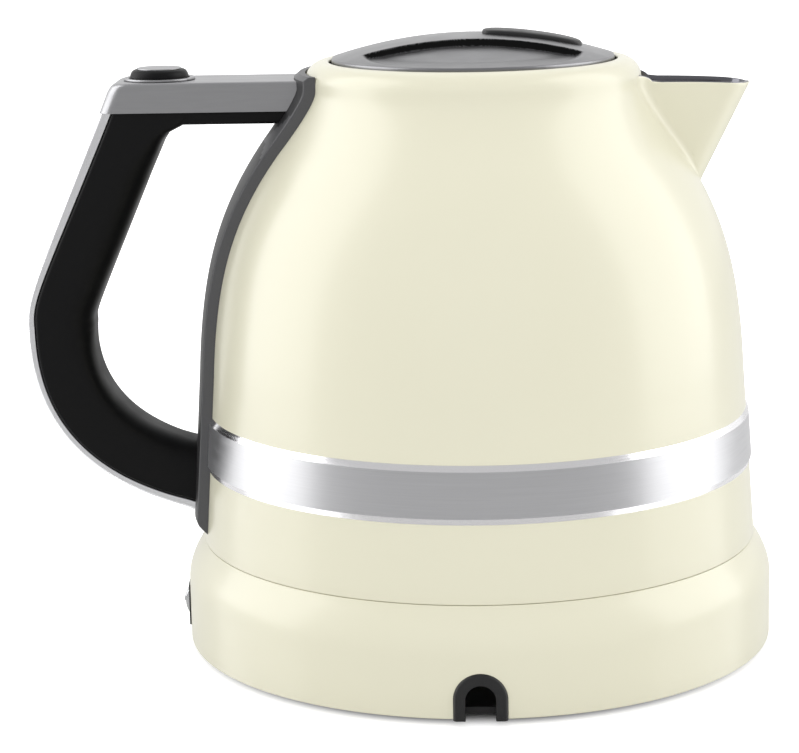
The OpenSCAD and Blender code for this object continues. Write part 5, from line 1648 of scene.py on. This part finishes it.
class KettleStage(bpy.types.Operator):
    """Make the floor, the lights and the camera"""
    bl_idname = "kettle.stage"
    bl_label = "Floor, lights and camera"

    def execute(self, context):
        scene = context.scene
        self.floor()
        self.world(scene)
        for values in LAMPS:
            lamp(*values)
        data = bpy.data.cameras.new("camera")
        data.sensor_width = 36
        data.lens = LENS
        data.clip_start = 0.05
        data.clip_end = 20
        camera = new_object("camera", data)
        camera.location = tuple(c * MM for c in CAMERA_PLACE)
        yaw = Matrix.Rotation(math.radians(scene.kettle_stage.yaw), 4, "Z")
        pitch = Matrix.Rotation(math.radians(90 - CAMERA_DIP), 4, "X")
        roll = Matrix.Rotation(math.radians(scene.kettle_stage.roll), 4, "Z")
        camera.rotation_euler = (yaw @ pitch @ roll).to_euler()
        scene.camera = camera
        scene.view_settings.view_transform = "Standard"
        return {"FINISHED"}

    def floor(self):
        """A white floor, which glows to the camera alone, less round the base as a painted shadow, and has a sheen
        in reflections.
        """
        floor = new_object("floor", mesh_of(
            "floor", [(-6, -6, 0), (6, -6, 0), (6, 6, 0), (-6, 6, 0)], [(0, 1, 2, 3)]
        ))
        made = bpy.data.materials.new("white_floor")
        tree = emptied(made)
        seen, glossy = ray_kinds(tree)
        where = add(tree, "ShaderNodeTexCoord").outputs["Object"]
        away = add(tree, "ShaderNodeVectorMath", {0: where}, operation="LENGTH").outputs["Value"]
        near, far = [
            add(tree, "ShaderNodeMapRange", {
                "Value": away, "From Min": low, "From Max": high, "To Min": 0.0, "To Max": rise
            }, interpolation_type="SMOOTHSTEP").outputs[0]
            for low, high, rise in FLOOR_GLOW_AND_SHADOW
        ]
        level = add(tree, "ShaderNodeMath", {0: near, 1: far}, operation="ADD").outputs[0]
        strength = add(tree, "ShaderNodeMath", {0: seen, 1: level}, operation="MULTIPLY").outputs[0]
        glow = add(tree, "ShaderNodeEmission", {"Color": WHITE, "Strength": strength})
        paper = add(tree, "ShaderNodeBsdfDiffuse", {"Color": (0.85, 0.85, 0.85, 1)})
        sheen = add(tree, "ShaderNodeBsdfGlossy", {"Color": (0.8, 0.8, 0.8, 1), "Roughness": 0.2})
        part = add(tree, "ShaderNodeMath", {0: glossy, 1: FLOOR_SHEEN}, operation="MULTIPLY").outputs[0]
        plain = add(tree, "ShaderNodeMixShader", {0: part, 1: paper.outputs[0], 2: sheen.outputs[0]})
        both = add(tree, "ShaderNodeAddShader", {0: glow.outputs[0], 1: plain.outputs[0]})
        add(tree, "ShaderNodeOutputMaterial", {"Surface": both.outputs[0]})
        floor.data.materials.append(made)

    def world(self, scene):
        """A white world, plain to the camera and brighter behind the kettle than before it."""
        scene.world = bpy.data.worlds.new("studio")
        tree = emptied(scene.world)
        seen = ray_kinds(tree)[0]
        where = add(tree, "ShaderNodeTexCoord").outputs["Generated"]
        behind = add(tree, "ShaderNodeSeparateXYZ", {0: where}).outputs["Y"]
        front, back = WORLD_STRENGTH
        level = add(tree, "ShaderNodeMapRange", {
            "Value": behind, "From Min": -0.1, "From Max": 0.7, "To Min": front, "To Max": back
        }, interpolation_type="SMOOTHSTEP").outputs[0]
        soft = add(tree, "ShaderNodeMath", {0: seen, 1: level}, operation="MAXIMUM").outputs[0]
        sky = add(tree, "ShaderNodeBackground", {"Color": WHITE, "Strength": soft})
        add(tree, "ShaderNodeOutputWorld", {"Surface": sky.outputs[0]})


OPERATORS = (
    KettleMaterials, KettleBase, KettleJug, KettleSpout, KettleHandle, KettleLid, KettleThermometer,
    KettleFilter, KettleStage,
)


class KettlePanel(bpy.types.Panel):
    """The kettle's sizes and finishes, and a button for each group of pieces"""
    bl_idname = "VIEW3D_PT_kettle"
    bl_label = "Electric kettle"
    bl_space_type = "VIEW_3D"
    bl_region_type = "UI"
    bl_category = "Kettle"

    def draw(self, context):
        for name, group in GROUPS.items():
            box = self.layout.box()
            box.label(text=name.replace("_", " ").capitalize())
            for key in group.__annotations__:
                box.prop(getattr(context.scene, name), key)
        for operator in OPERATORS:
            self.layout.operator(operator.bl_idname)


def register():
    """Adds the groups of sizes, the operators and the panel."""
    for group in GROUPS.values():
        bpy.utils.register_class(group)
    for name, group in GROUPS.items():
        setattr(bpy.types.Scene, name, bpy.props.PointerProperty(type=group))
    for operator in OPERATORS + (KettlePanel,):
        bpy.utils.register_class(operator)


def unregister():
    """Takes the panel, the operators and the groups of sizes away again."""
    for operator in (KettlePanel,) + OPERATORS:
        bpy.utils.unregister_class(operator)
    for name, group in GROUPS.items():
        delattr(bpy.types.Scene, name)
        bpy.utils.unregister_class(group)


def main():
    """Dresses the kettle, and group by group."""
    for name in ("Cube", "Camera", "Light"):
        if name in bpy.data.objects:
            bpy.data.objects.remove(bpy.data.objects[name])
    register()
    for operator in OPERATORS:
        group, name = operator.bl_idname.split(".")
        getattr(getattr(bpy.ops, group), name)()


if __name__ == "__main__":
    main()
